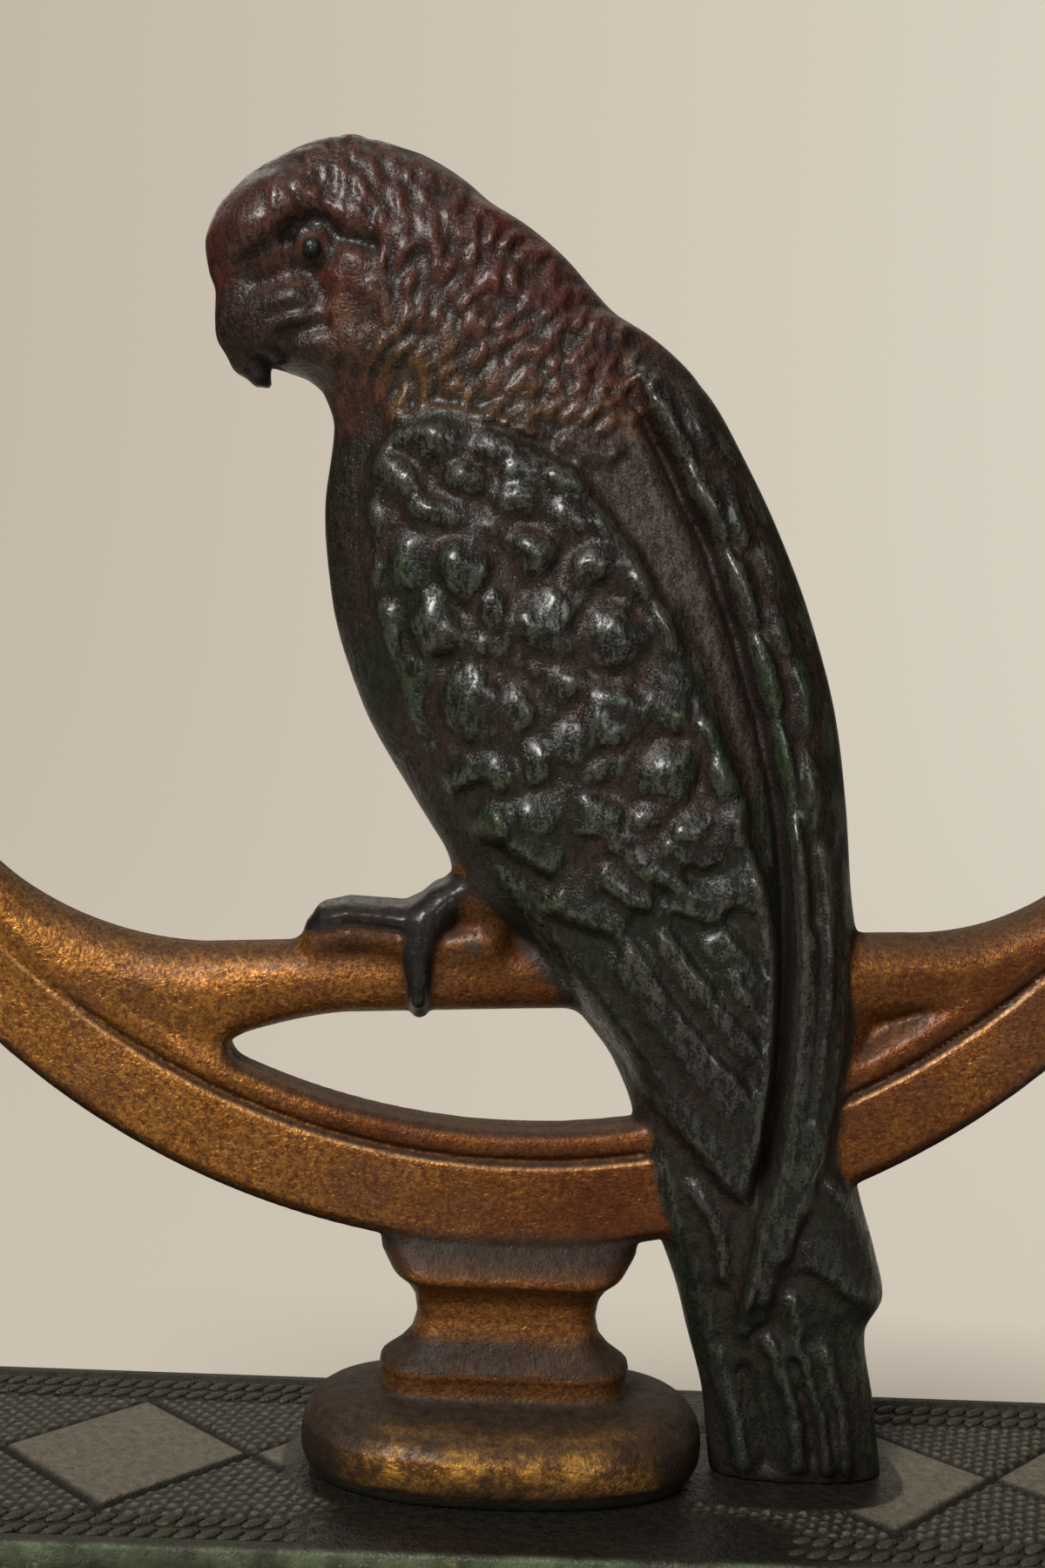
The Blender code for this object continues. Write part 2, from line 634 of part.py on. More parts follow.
def figure_half(name, finish, is_front):
    """One half casting: everything joined, cut flat at the seam and drilled."""
    overlap = 1.0 * MM
    half = finish_object(name, bird_body(overlap), finish)
    combine(half, ring_body(overlap), 'UNION')
    combine(half, perch_body(), 'UNION')
    combine(half, web_pocket(), 'DIFFERENCE')
    combine(half, pedestal_body(), 'UNION')
    for route in (THIGH, LONG_TOE, FRONT_TOE):
        combine(half, limb(route), 'UNION')
    combine(half, beak_hook(), 'UNION')
    combine(half, eye(), 'UNION')
    wide = BASE_LENGTH + BIRD_HEIGHT + 2.0 * RING_OUTER_RADIUS
    seam = -CLEARANCE / 2.0
    combine(half, box((-wide, seam, -wide), (wide, wide, wide)), 'DIFFERENCE')
    hole = FIGURE_SCREW_RADIUS + CLEARANCE
    for place in (UPPER_SCREW_PLACE, LOWER_SCREW_PLACE):
        if is_front:
            drill = cylinder(hole, -1.0 * MM, FIGURE_SCREW_ENGAGEMENT + CLEARANCE)
            combine(half, along_depth(drill, place), 'DIFFERENCE')
        else:
            seat = head_seat(place)
            drill = turned([
                (0.0, -1.0 * MM), (hole, -1.0 * MM), (hole, seat),
                (FIGURE_SCREW_HEAD_RADIUS + CLEARANCE, seat),
                (FIGURE_SCREW_HEAD_RADIUS + CLEARANCE, seat + 12.0 * MM), (0.0, seat + 12.0 * MM),
            ])
            combine(half, along_depth(drill, place), 'DIFFERENCE')
    for x, radius, depth in ((0.0, PEDESTAL_SCREW_RADIUS, PEDESTAL_SCREW_DEPTH),
                             (tail_screw_x(), TAIL_SCREW_RADIUS, TAIL_SCREW_DEPTH)):
        drill = cylinder(radius + CLEARANCE, BASE_TOP - 1.0 * MM, BASE_TOP + depth + CLEARANCE)
        combine(half, placed(drill, Matrix.Translation((x, 0.0, 0.0))), 'DIFFERENCE')
    if not is_front:
        half.data.transform(Matrix.Scale(-1.0, 4, (0.0, 1.0, 0.0)))
        half.data.flip_normals()
    half.data.shade_smooth()
    half.data.set_sharp_from_angle(angle=math.radians(38.0))
    return half


def tail_screw_x():
    return TAIL_SCREW_X * bird_unit()


def slotted_screw(name, finish, radius, length, head_radius, head_height, matrix):
    """Round-head machine screw with a straight slot; its shank runs up +Z from the head."""
    dome = [(0.0, 0.0)]
    for step in range(1, 5):
        swing = math.radians(90.0 * step / 4)
        dome.append((head_radius * math.sin(swing), head_height * 0.65 * (1.0 - math.cos(swing))))
    profile = dome + [
        (head_radius, head_height), (radius, head_height), (radius, head_height + length - 0.4 * MM),
        (radius - 0.4 * MM, head_height + length), (0.0, head_height + length),
    ]
    screw = finish_object(name, turned(profile), finish)
    slot_floor = head_height * SLOT_SHARE_OF_HEAD
    half = SLOT_WIDTH / 2.0
    reach = 2.0 * head_radius
    combine(screw, box((-reach, -half, -reach), (reach, half, slot_floor)), 'DIFFERENCE')
    screw.data.transform(matrix)
    screw.data.shade_smooth()
    screw.data.set_sharp_from_angle(angle=math.radians(40.0))
    return screw


def figure_screw(name, finish, place):
    """Screw from the back half's outside into the front half's boss."""
    unit = bird_unit()
    under_head = head_seat(place) + CLEARANCE
    length = under_head + FIGURE_SCREW_ENGAGEMENT
    outside = under_head + FIGURE_SCREW_HEAD_HEIGHT
    turn = Matrix.Rotation(math.radians(90.0), 4, 'X')
    move = Matrix.Translation((place[0] * unit, outside, BASE_TOP + place[1] * unit))
    return slotted_screw(name, finish, FIGURE_SCREW_RADIUS, length, FIGURE_SCREW_HEAD_RADIUS,
                         FIGURE_SCREW_HEAD_HEIGHT, move @ turn)


def plate_underside():
    return BASE_TOP - BASE_TOP_PLATE


def base_screw(name, finish, x, radius, depth, head_radius, head_height):
    """Screw from inside the tray, through its washer and the top plate, up into the figure."""
    washer_bottom = plate_underside() - CLEARANCE - WASHER_THICKNESS
    head_top = washer_bottom - CLEARANCE
    length = BASE_TOP + depth - head_top
    move = Matrix.Translation((x, 0.0, head_top - head_height))
    return slotted_screw(name, finish, radius, length, head_radius, head_height, move)


def washer(name, finish, x, radius, head_radius):
    inner = radius + CLEARANCE
    outer = head_radius + WASHER_MARGIN
    top = plate_underside() - CLEARANCE
    bottom = top - WASHER_THICKNESS
    made = finish_object(name, cylinder(outer, bottom, top, 24), finish)
    combine(made, cylinder(inner, bottom - 1.0 * MM, top + 1.0 * MM), 'DIFFERENCE')
    made.data.transform(Matrix.Translation((x, 0.0, 0.0)))
    made.data.shade_smooth()
    made.data.set_sharp_from_angle(angle=math.radians(40.0))
    return made


def rounded_rectangle(half_length, half_depth, radius, height, per_corner=5):
    loop = []
    for corner in range(4):
        sign_x = 1.0 if corner in (0, 3) else -1.0
        sign_y = 1.0 if corner in (0, 1) else -1.0
        for i in range(per_corner):
            angle = math.radians(90.0 * (corner + i / (per_corner - 1)))
            loop.append(Vector((sign_x * (half_length - radius) + radius * math.cos(angle),
                                sign_y * (half_depth - radius) + radius * math.sin(angle), height)))
    return loop


def bumper_places():
    """The four corners where the bumpers' bosses stand inside the tray's walls."""
    x = BASE_LENGTH / 2.0 - BASE_WALL - BUMPER_BOSS_RADIUS + 1.0 * MM
    y = BASE_DEPTH / 2.0 - BASE_WALL - BUMPER_BOSS_RADIUS + 1.0 * MM
    return [(-x, -y), (x, -y), (x, y), (-x, y)]


def base_casting(finish):
    """Tray-like base: plain upright sides, a hollow underside, and bosses for the bumpers."""
    half_length = BASE_LENGTH / 2.0
    half_depth = BASE_DEPTH / 2.0
    outer = []
    for height, inset in ((BUMPER_HEIGHT, 0.0), (BASE_TOP - BASE_EDGE_ROUND, 0.0),
                          (BASE_TOP - 0.3 * BASE_EDGE_ROUND, 0.3 * BASE_EDGE_ROUND), (BASE_TOP, BASE_EDGE_ROUND)):
        outer.append(rounded_rectangle(half_length - inset, half_depth - inset,
                                       BASE_CORNER_RADIUS - inset, height))
    base = finish_object("base", loft(outer), finish)
    inner = []
    for height, grow in ((BUMPER_HEIGHT - 1.0 * MM, 0.4 * MM), (plate_underside(), 0.0)):
        inner.append(rounded_rectangle(half_length - BASE_WALL + grow, half_depth - BASE_WALL + grow,
                                       max(BASE_CORNER_RADIUS - BASE_WALL, 1.2 * MM), height))
    cavity = finish_object("tray hollow", loft(inner))
    for x, y in bumper_places():
        boss = cylinder(BUMPER_BOSS_RADIUS, 0.0, BASE_TOP + 1.0 * MM, 20)
        combine(cavity, placed(boss, Matrix.Translation((x, y, 0.0))), 'DIFFERENCE')
    hollow = bmesh.new()
    hollow.from_mesh(cavity.data)
    bpy.data.objects.remove(cavity, do_unlink=True)
    combine(base, hollow, 'DIFFERENCE')
    for x, y in bumper_places():
        socket = cylinder(BUMPER_STEM_RADIUS + CLEARANCE, 0.0, BUMPER_HEIGHT + BUMPER_STEM_LENGTH + CLEARANCE)
        combine(base, placed(socket, Matrix.Translation((x, y, 0.0))), 'DIFFERENCE')
    for x, radius in ((0.0, PEDESTAL_SCREW_RADIUS), (tail_screw_x(), TAIL_SCREW_RADIUS)):
        hole = cylinder(radius + CLEARANCE, 0.0, BASE_TOP + 1.0 * MM)
        combine(base, placed(hole, Matrix.Translation((x, 0.0, 0.0))), 'DIFFERENCE')
    base.data.shade_smooth()
    base.data.set_sharp_from_angle(angle=math.radians(40.0))
    return base


def bumper(name, finish, x, y):
    """Rubber button: a round pad under the rim and a stem pressed up into its boss."""
    edge = BUMPER_EDGE_ROUND
    top = BUMPER_HEIGHT - CLEARANCE
    profile = [
        (0.0, 0.0), (BUMPER_RADIUS - edge, 0.0), (BUMPER_RADIUS - 0.3 * edge, 0.3 * edge),
        (BUMPER_RADIUS, edge), (BUMPER_RADIUS, top), (BUMPER_STEM_RADIUS, top),
        (BUMPER_STEM_RADIUS, BUMPER_HEIGHT + BUMPER_STEM_LENGTH - 0.5 * MM),
        (BUMPER_STEM_RADIUS - 0.5 * MM, BUMPER_HEIGHT + BUMPER_STEM_LENGTH),
        (0.0, BUMPER_HEIGHT + BUMPER_STEM_LENGTH),
    ]
    made = finish_object(name, turned(profile), finish)
    made.data.transform(Matrix.Translation((x, y, 0.0)))
    return made


def build():
    clear_scene()
    base_iron = material("base_black_green_paint", (0.035, 0.037, 0.032), 0.42, 0.1)
    front_iron = material("figure_front_paint", (0.10, 0.055, 0.03), 0.40, 0.3)
    back_iron = material("figure_back_paint", (0.095, 0.052, 0.03), 0.42, 0.3)
    base_casting(base_iron)
    figure_half("figure_front", front_iron, True)
    figure_half("figure_back", back_iron, False)
    for label, place in (("upper", UPPER_SCREW_PLACE), ("lower", LOWER_SCREW_PLACE)):
        steel = material("figure_screw_%s_steel" % label, (0.20, 0.18, 0.15), 0.45, 0.9)
        figure_screw("figure_screw_%s" % label, steel, place)
    for label, x, radius, depth, head_radius, head_height in (
            ("pedestal", 0.0, PEDESTAL_SCREW_RADIUS, PEDESTAL_SCREW_DEPTH,
             PEDESTAL_SCREW_HEAD_RADIUS, PEDESTAL_SCREW_HEAD_HEIGHT),
            ("tail", tail_screw_x(), TAIL_SCREW_RADIUS, TAIL_SCREW_DEPTH,
             TAIL_SCREW_HEAD_RADIUS, TAIL_SCREW_HEAD_HEIGHT)):
        steel = material("%s_screw_steel" % label, (0.32, 0.30, 0.27), 0.45, 0.9)
        plate = material("%s_washer_steel" % label, (0.36, 0.35, 0.33), 0.5, 0.9)
        base_screw("%s_screw" % label, steel, x, radius, depth, head_radius, head_height)
        washer("%s_washer" % label, plate, x, radius, head_radius)
    for number, (x, y) in enumerate(bumper_places(), start=1):
        rubber = material("bumper_%d_rubber" % number, (0.03, 0.028, 0.026), 0.85, 0.0)
        bumper("bumper_%d" % number, rubber, x, y)


build()
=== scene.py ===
"""Looks of a cast iron doorstop, a parrot in a ring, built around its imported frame.

The figure's two half castings are carved as solid fields on a grid and skinned, the base gets its
woven ground, smooth squares and braid, and every piece gets a painted and worn finish.
"""
import itertools
import math

import bmesh
import bpy
import numpy as np
from mathutils import Matrix, Vector


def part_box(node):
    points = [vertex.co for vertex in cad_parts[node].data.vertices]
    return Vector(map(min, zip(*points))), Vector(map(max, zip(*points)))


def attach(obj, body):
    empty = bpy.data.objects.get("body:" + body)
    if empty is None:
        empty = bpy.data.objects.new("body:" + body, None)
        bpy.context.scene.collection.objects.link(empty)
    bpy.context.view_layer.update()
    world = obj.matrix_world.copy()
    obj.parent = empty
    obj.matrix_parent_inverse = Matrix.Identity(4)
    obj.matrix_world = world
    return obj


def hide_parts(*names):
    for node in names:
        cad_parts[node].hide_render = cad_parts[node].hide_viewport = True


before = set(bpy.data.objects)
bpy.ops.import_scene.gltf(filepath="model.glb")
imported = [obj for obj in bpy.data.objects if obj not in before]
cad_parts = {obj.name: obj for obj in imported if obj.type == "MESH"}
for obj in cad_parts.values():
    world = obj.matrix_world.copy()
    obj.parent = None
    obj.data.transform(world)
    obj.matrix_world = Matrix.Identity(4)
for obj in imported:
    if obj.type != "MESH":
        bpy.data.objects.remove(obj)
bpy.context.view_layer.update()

bl_info = {
    "name": "Cast iron parrot doorstop",
    "version": (1, 0, 0),
    "blender": (4, 5, 0),
    "location": "View3D > Sidebar > Doorstop",
    "description": "Builds the carved and painted surfaces of a cast iron doorstop",
    "category": "Object",
}

MM = 0.001
BASE_LOW, BASE_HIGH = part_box("base")
FIGURE_LOW, FIGURE_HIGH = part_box("figure_front")
BASE_TOP = BASE_HIGH.z
FIXINGS = ("figure_screw_upper", "figure_screw_lower", "pedestal_screw", "tail_screw")
WASHERS = ("pedestal_washer", "tail_washer")
BUMPERS = ("bumper_1", "bumper_2", "bumper_3", "bumper_4")

# Grid of the figure: a cell's corners, and each axis with the two beside it
CORNERS = list(itertools.product((0, 1), repeat=3))
AXES = ((0, 1, 2), (1, 0, 2), (2, 0, 1))
MOST_TRIANGLES = 186000
FAR_OUTSIDE = -50.0

# Everything on the figure below is in millimetres: across, height above the base, and depth
# in front of the seam between the two half castings.
FINE_ACROSS = (-36.0, 41.0)
FINE_UP = (-0.2, 133.0)
GRID_BOTTOM = -0.7
GRID_MARGIN = 1.2
GREATEST_DEPTH = 13.4
SEAM_HALF_GAP = 0.005
SEAM_GROOVE_DEPTH = 0.16
SEAM_GROOVE_REACH = 0.22

# Ring
RING_OUTER = 0.5 * (FIGURE_HIGH.x - FIGURE_LOW.x) / MM
RING_BOTTOM = 22.9
RING_WIDTH_AT_BOTTOM = 11.8
RING_OPENING = 71.5
RING_CENTRE = RING_BOTTOM + RING_OUTER
OPENING_CENTRE = RING_BOTTOM + RING_WIDTH_AT_BOTTOM + RING_OPENING
RING_DEPTH = 3.5
BEAD_WIDTH = 3.0
GROOVE_DEPTH = 1.0
RIM_WIDTH = 0.9
RIM_STEP = 0.6

# Perch
PERCH_TOP_LEFT = 52.3
PERCH_TOP_RIGHT = 56.0
PERCH_THICKNESS = 7.4
PERCH_DEPTH = 3.9
PERCH_FILLET_LEFT = 34.0
PERCH_FILLET_RIGHT = 26.0
PERCH_DROP = 2.1
PERCH_DROP_FROM = -17.0
PERCH_DROP_RUN = 11.0
CROTCH_LEFT = -28.4
WEB_RIGHT = 31.0
WEB_POCKET = [(34.6, 47.8), (41.6, 48.9), (34.2, 43.9)]
WEB_POCKET_DEPTH = 1.7

# Pedestal: height, half width and half depth of its turned outline
PEDESTAL = [
    (-1.0, 18.2, 10.3), (0.0, 19.0, 11.3), (0.8, 19.7, 12.0), (2.0, 20.2, 12.6), (3.4, 20.3, 12.7),
    (4.8, 20.1, 12.5), (6.0, 19.3, 11.6), (6.9, 18.1, 10.2), (7.5, 16.0, 8.2), (7.8, 12.9, 5.3),
    (8.4, 12.5, 4.8), (9.8, 12.6, 4.9), (10.3, 12.9, 5.2), (10.9, 12.7, 5.0), (12.2, 10.9, 4.2),
    (13.6, 9.7, 3.6), (15.5, 9.2, 3.2), (17.4, 9.5, 3.4), (18.6, 10.3, 4.2), (19.4, 11.2, 5.0),
    (19.9, 11.8, 5.6), (20.4, 12.1, 5.6), (22.2, 13.1, 4.5), (23.6, 13.1, 3.5), (26.0, 12.0, 2.4),
]
PEDESTAL_SQUARENESS = 2.5
FACETS_FROM = 7.6
FACET_SHARPNESS = 12
FOOT_CLEARANCE = 0.02

# Parrot's body: its top, and height, left edge, right edge and half thickness
BODY_TOP = 132.1
BODY = [
    (0.0, 21.4, 39.2, 3.3), (8.0, 20.3, 37.9, 3.5), (14.9, 18.3, 36.7, 3.9), (18.8, 17.2, 38.3, 4.5),
    (23.5, 15.4, 37.2, 4.9), (29.0, 12.8, 35.4, 5.4), (36.0, 12.0, 33.6, 5.9), (42.0, 9.6, 34.0, 6.3),
    (47.0, 5.7, 34.2, 6.7), (53.0, 0.8, 33.9, 7.2), (60.0, -6.0, 32.8, 7.7), (68.0, -11.7, 31.9, 8.1),
    (77.0, -17.1, 30.4, 8.3), (87.0, -20.4, 27.3, 8.3), (96.0, -21.4, 23.4, 7.9), (103.5, -20.8, 19.3, 7.5),
    (106.8, -21.9, 17.3, 7.5), (108.3, -23.6, 16.2, 7.5), (109.3, -26.8, 15.3, 7.5),
    (110.4, -30.8, 14.4, 7.5), (112.0, -32.2, 12.7, 7.5), (114.0, -32.7, 10.0, 7.5),
    (116.0, -32.7, 6.5, 7.5), (118.0, -33.5, 4.4, 7.4), (121.0, -34.0, 1.5, 7.2), (124.0, -33.1, -2.4, 6.6),
    (126.0, -31.7, -6.0, 6.1), (128.0, -29.5, -8.6, 5.3), (130.0, -26.2, -12.2, 3.8),
    (131.0, -24.2, -15.4, 2.8), (131.7, -21.6, -18.4, 1.4),
]

# Near wing's outline, and the groove between the back and the far wing from the tail upwards
NEAR_WING = [
    (-17.8, 98.0), (-16.6, 101.6), (-14.7, 103.7), (-10.8, 104.9), (-5.4, 104.2), (-2.9, 103.2),
    (3.3, 100.3), (6.1, 96.8), (9.5, 92.7), (12.7, 87.1), (16.6, 78.9), (20.0, 71.4), (23.4, 61.6),
    (24.9, 53.0), (25.1, 44.0), (24.6, 34.4), (23.8, 27.8), (20.2, 30.1), (17.5, 33.3), (14.8, 36.0),
    (11.9, 38.7), (9.4, 42.4), (3.0, 50.0), (-5.0, 62.0), (-12.0, 74.0), (-16.6, 87.0),
]
BACK_GROOVE = [
    (23.7, 27.5), (24.5, 31.4), (25.2, 36.5), (25.7, 42.1), (25.8, 46.7), (25.6, 53.1), (25.2, 59.3),
    (24.5, 65.6), (23.3, 71.5), (21.4, 78.0), (19.2, 84.4), (17.8, 88.4), (16.3, 92.3), (14.5, 95.8),
    (13.1, 98.3), (11.0, 102.4), (8.8, 106.3), (7.5, 109.6), (7.0, 111.3),
]

# Large covert feathers: centre across and up, half width, half length, lean from upright in
# degrees (positive leans to the right at its top) and rise
COVERTS = [
    (-11.0, 102.2, 4.4, 2.0, 6.0, 0.9), (-5.2, 101.8, 2.6, 1.7, 0.0, 0.8),
    (-14.0, 98.6, 3.0, 1.7, 12.0, 0.9), (-7.6, 98.7, 2.7, 1.8, 16.0, 1.0), (-2.4, 99.6, 2.4, 1.6, 0.0, 0.8),
    (2.0, 98.6, 2.4, 1.8, -20.0, 0.8), (-15.6, 94.9, 2.0, 1.6, 8.0, 0.8),
    (-10.0, 95.4, 3.8, 1.5, 18.0, 0.9), (-2.6, 96.8, 3.0, 1.9, 0.0, 1.0), (2.4, 95.3, 2.2, 1.7, -20.0, 0.8),
    (5.6, 95.0, 1.8, 2.2, -30.0, 0.8), (-16.3, 89.6, 1.5, 2.3, -10.0, 0.8),
    (-12.5, 90.2, 2.1, 3.1, -8.0, 1.1), (-7.4, 90.6, 2.7, 3.6, -6.0, 1.4),
    (-0.6, 92.3, 3.1, 2.3, -38.0, 1.1), (5.0, 91.0, 3.7, 2.0, -34.0, 1.0),
    (9.0, 90.6, 1.5, 2.8, -34.0, 0.9), (-14.4, 84.4, 1.5, 3.2, -12.0, 1.0),
    (-10.0, 84.6, 2.3, 3.3, -10.0, 1.3), (-4.2, 84.8, 2.2, 3.4, -10.0, 1.2),
    (0.5, 85.2, 2.9, 3.4, -6.0, 1.4), (7.2, 84.3, 3.5, 3.2, -28.0, 1.4), (12.3, 85.6, 1.5, 3.6, -30.0, 1.0),
    (-11.6, 77.2, 1.3, 3.0, -22.0, 1.0), (-6.2, 77.5, 2.9, 4.2, -14.0, 1.4),
    (-1.6, 77.5, 1.7, 3.0, -14.0, 1.0), (3.2, 79.6, 2.3, 1.9, -20.0, 0.8),
    (7.2, 76.6, 3.6, 2.8, -30.0, 1.4), (12.4, 78.6, 1.9, 3.6, -30.0, 1.1),
    (16.6, 76.2, 1.5, 3.2, -24.0, 1.0), (-6.6, 70.2, 2.2, 2.0, -20.0, 1.0),
    (-3.2, 70.9, 1.7, 2.1, -10.0, 1.0), (0.2, 72.0, 1.7, 2.2, -10.0, 1.0),
    (3.9, 74.2, 2.3, 2.2, -30.0, 1.1), (6.4, 71.9, 2.3, 1.7, -30.0, 0.8),
    (12.6, 71.9, 3.2, 2.9, -30.0, 1.4), (18.0, 72.2, 1.4, 3.2, -16.0, 1.0),
    (-3.6, 66.0, 2.4, 1.9, -30.0, 1.1), (0.8, 67.2, 2.5, 2.1, -10.0, 1.1),
    (6.2, 67.0, 2.5, 2.3, -10.0, 1.2), (11.4, 67.6, 2.2, 1.5, -30.0, 0.9),
    (15.4, 67.0, 2.6, 1.9, -20.0, 1.0), (19.4, 66.9, 2.0, 2.3, -14.0, 1.0),
]

# Edges of the wing and crests of its feathers: width, rise, and the line that each follows
WING_EDGES = [
    (0.6, 0.9, [(21.0, 64.0), (23.0, 59.6), (24.2, 53.8), (24.5, 48.3), (24.4, 44.3), (24.0, 38.8),
                (23.4, 32.0)]),
    (0.7, 0.8, [(12.0, 88.6), (15.4, 81.6), (18.8, 73.6), (21.4, 66.0)]),
    (0.6, 0.8, [(-15.8, 102.9), (-14.7, 103.8), (-10.4, 104.9), (-5.2, 104.2), (-2.8, 103.3),
                (0.6, 103.0)]),
]
WING_CRESTS = [
    (1.0, 0.9, [(-5.4, 66.2), (-1.4, 63.5), (1.3, 62.1), (3.4, 61.0)]),
    (1.0, 0.9, [(6.6, 61.4), (8.1, 60.1), (10.1, 58.9), (12.4, 58.9)]),
    (1.1, 0.8, [(1.6, 58.6), (3.3, 57.6), (5.8, 56.8), (8.0, 56.3), (9.8, 55.0)]),
    (1.0, 0.9, [(7.4, 65.0), (8.9, 63.6), (10.7, 62.0), (13.0, 61.1), (15.4, 60.6)]),
    (0.9, 0.8, [(12.6, 64.8), (14.3, 63.6), (16.6, 63.0), (19.0, 63.8)]),
    (0.9, 0.7, [(13.6, 59.4), (14.8, 58.7), (16.6, 58.0), (19.4, 57.6)]),
    (0.9, 0.7, [(18.4, 58.6), (20.2, 59.8), (22.8, 58.4)]),
]
SECONDARIES = [
    (0.9, 1.25, [(8.6, 56.4), (10.3, 54.3), (11.6, 52.8), (13.8, 49.4), (16.2, 46.7), (18.6, 43.8),
                 (20.8, 42.0), (23.2, 38.8)]),
    (0.8, 1.05, [(12.4, 57.0), (13.5, 55.6), (15.3, 53.5), (17.5, 50.8), (19.0, 48.9), (21.2, 46.4),
                 (24.0, 43.8)]),
    (0.7, 0.8, [(18.2, 57.2), (19.2, 56.1), (21.0, 54.2), (23.6, 50.9)]),
    (0.6, 0.5, [(17.6, 51.6), (18.6, 52.2), (19.9, 52.5), (21.6, 51.7), (23.4, 49.8)]),
    (0.6, 0.7, [(19.8, 51.4), (20.5, 50.7), (22.0, 49.2), (24.0, 47.2)]),
    (0.8, 0.35, [(3.2, 55.4), (7.4, 50.6), (12.4, 43.8), (17.6, 37.6), (21.6, 32.4)]),
]

# Far wing: long feathers beside the groove, and the flight feathers under them
FAR_FEATHERS = [
    (11.0, 105.8, 2.0, 5.6, -31.0, 1.0), (15.6, 97.8, 1.9, 4.7, -28.0, 1.1),
    (18.9, 89.7, 1.8, 4.7, -26.0, 1.1), (21.9, 81.2, 1.7, 4.5, -19.0, 1.1),
    (24.1, 73.0, 1.5, 4.4, -15.0, 1.0), (14.4, 105.3, 1.2, 3.5, -26.0, 0.9),
    (18.5, 96.9, 1.3, 4.3, -20.0, 1.0), (22.3, 91.8, 1.5, 3.5, -31.0, 0.9),
    (23.1, 86.0, 1.5, 3.7, -27.0, 0.9), (25.8, 79.4, 1.3, 4.2, -16.0, 0.9),
    (27.3, 70.6, 1.3, 4.3, -10.0, 0.9), (17.0, 103.4, 1.0, 3.1, -34.0, 0.7),
    (20.9, 98.0, 1.0, 3.1, -28.0, 0.7), (26.2, 87.0, 1.0, 3.6, -16.0, 0.7),
    (28.8, 77.0, 1.0, 3.7, -8.0, 0.7), (30.0, 68.4, 1.0, 4.0, -6.0, 0.7),
]
FLIGHT_CRESTS = [
    (0.75, 1.3, [(24.9, 68.6), (26.0, 64.0), (26.6, 60.3), (26.9, 54.6), (27.0, 48.3), (26.8, 43.3),
                 (26.5, 38.7), (26.0, 33.4), (24.9, 28.5), (23.9, 21.5), (23.2, 16.4)]),
    (0.6, 0.8, [(27.9, 58.0), (28.2, 53.9), (28.3, 48.4), (28.2, 43.3), (27.8, 38.2), (27.1, 32.0),
                (26.0, 25.0), (25.2, 18.0)]),
    (0.7, 0.9, [(28.4, 66.4), (29.5, 59.6), (29.9, 53.3), (29.8, 47.0), (29.5, 42.0), (28.9, 35.6),
                (27.9, 29.0), (26.8, 22.0)]),
    (0.8, 0.8, [(31.2, 64.0), (31.7, 59.6), (31.8, 54.5), (31.6, 49.5), (31.4, 44.4), (31.0, 39.3),
                (30.0, 32.8), (28.8, 26.6)]),
]
BUNDLE = [
    (25.8, 38.0), (24.8, 31.0), (24.2, 27.0), (23.5, 22.6), (22.6, 18.8), (22.3, 16.0), (23.1, 14.5),
    (24.4, 15.0), (26.1, 16.8), (27.4, 20.4), (28.3, 24.2), (29.3, 28.0), (30.4, 33.0), (31.6, 39.0),
]

# Tail: crests of its feathers and the lower edge of its right lobe
TAIL_CRESTS = [
    (1.3, 0.6, [(13.0, 36.0), (14.3, 32.9), (15.9, 28.0), (17.8, 22.7), (19.7, 16.6), (20.8, 12.4)]),
    (0.9, 0.6, [(17.0, 31.4), (18.1, 29.8), (19.9, 27.5), (21.0, 24.2), (21.4, 20.0)]),
    (0.9, 0.95, [(20.9, 14.6), (21.5, 11.3), (22.3, 8.7), (23.3, 6.1), (24.0, 3.2), (24.6, 0.4)]),
    (0.8, 0.7, [(28.0, 20.4), (28.4, 18.7), (29.1, 16.1), (28.6, 13.0)]),
    (0.9, 0.9, [(25.8, 16.4), (26.4, 14.8), (27.0, 13.4), (27.8, 11.2), (29.1, 8.2), (29.8, 4.0),
                (30.2, 0.4)]),
    (0.8, 0.9, [(29.4, 15.0), (30.0, 13.0), (30.7, 10.2), (31.7, 7.8), (32.7, 3.0), (33.2, 0.4)]),
    (0.8, 0.9, [(31.4, 15.6), (32.2, 13.1), (32.9, 10.2), (34.1, 7.9), (34.6, 4.3), (35.2, 0.4)]),
    (0.8, 0.7, [(34.6, 17.0), (35.2, 14.9), (35.9, 11.3), (36.5, 7.8), (37.2, 2.0)]),
    (0.7, -0.5, [(23.8, 13.0), (24.6, 9.9), (25.9, 6.4), (26.8, 2.8), (27.4, 0.4)]),
    (0.6, -0.4, [(29.2, 11.0), (30.0, 8.9), (31.1, 5.9), (31.6, 1.8)]),
    (0.7, 0.8, [(30.4, 32.0), (31.6, 31.0), (33.7, 28.9), (35.1, 26.6), (36.4, 23.9), (37.3, 21.3),
                (37.3, 18.8)]),
]
LOBE = [
    (27.2, 22.0), (29.0, 28.0), (30.6, 33.4), (35.5, 32.0), (39.8, 26.0), (40.4, 17.0), (38.0, 16.3),
    (35.6, 17.7), (33.5, 19.0), (31.6, 20.4), (29.6, 21.8),
]

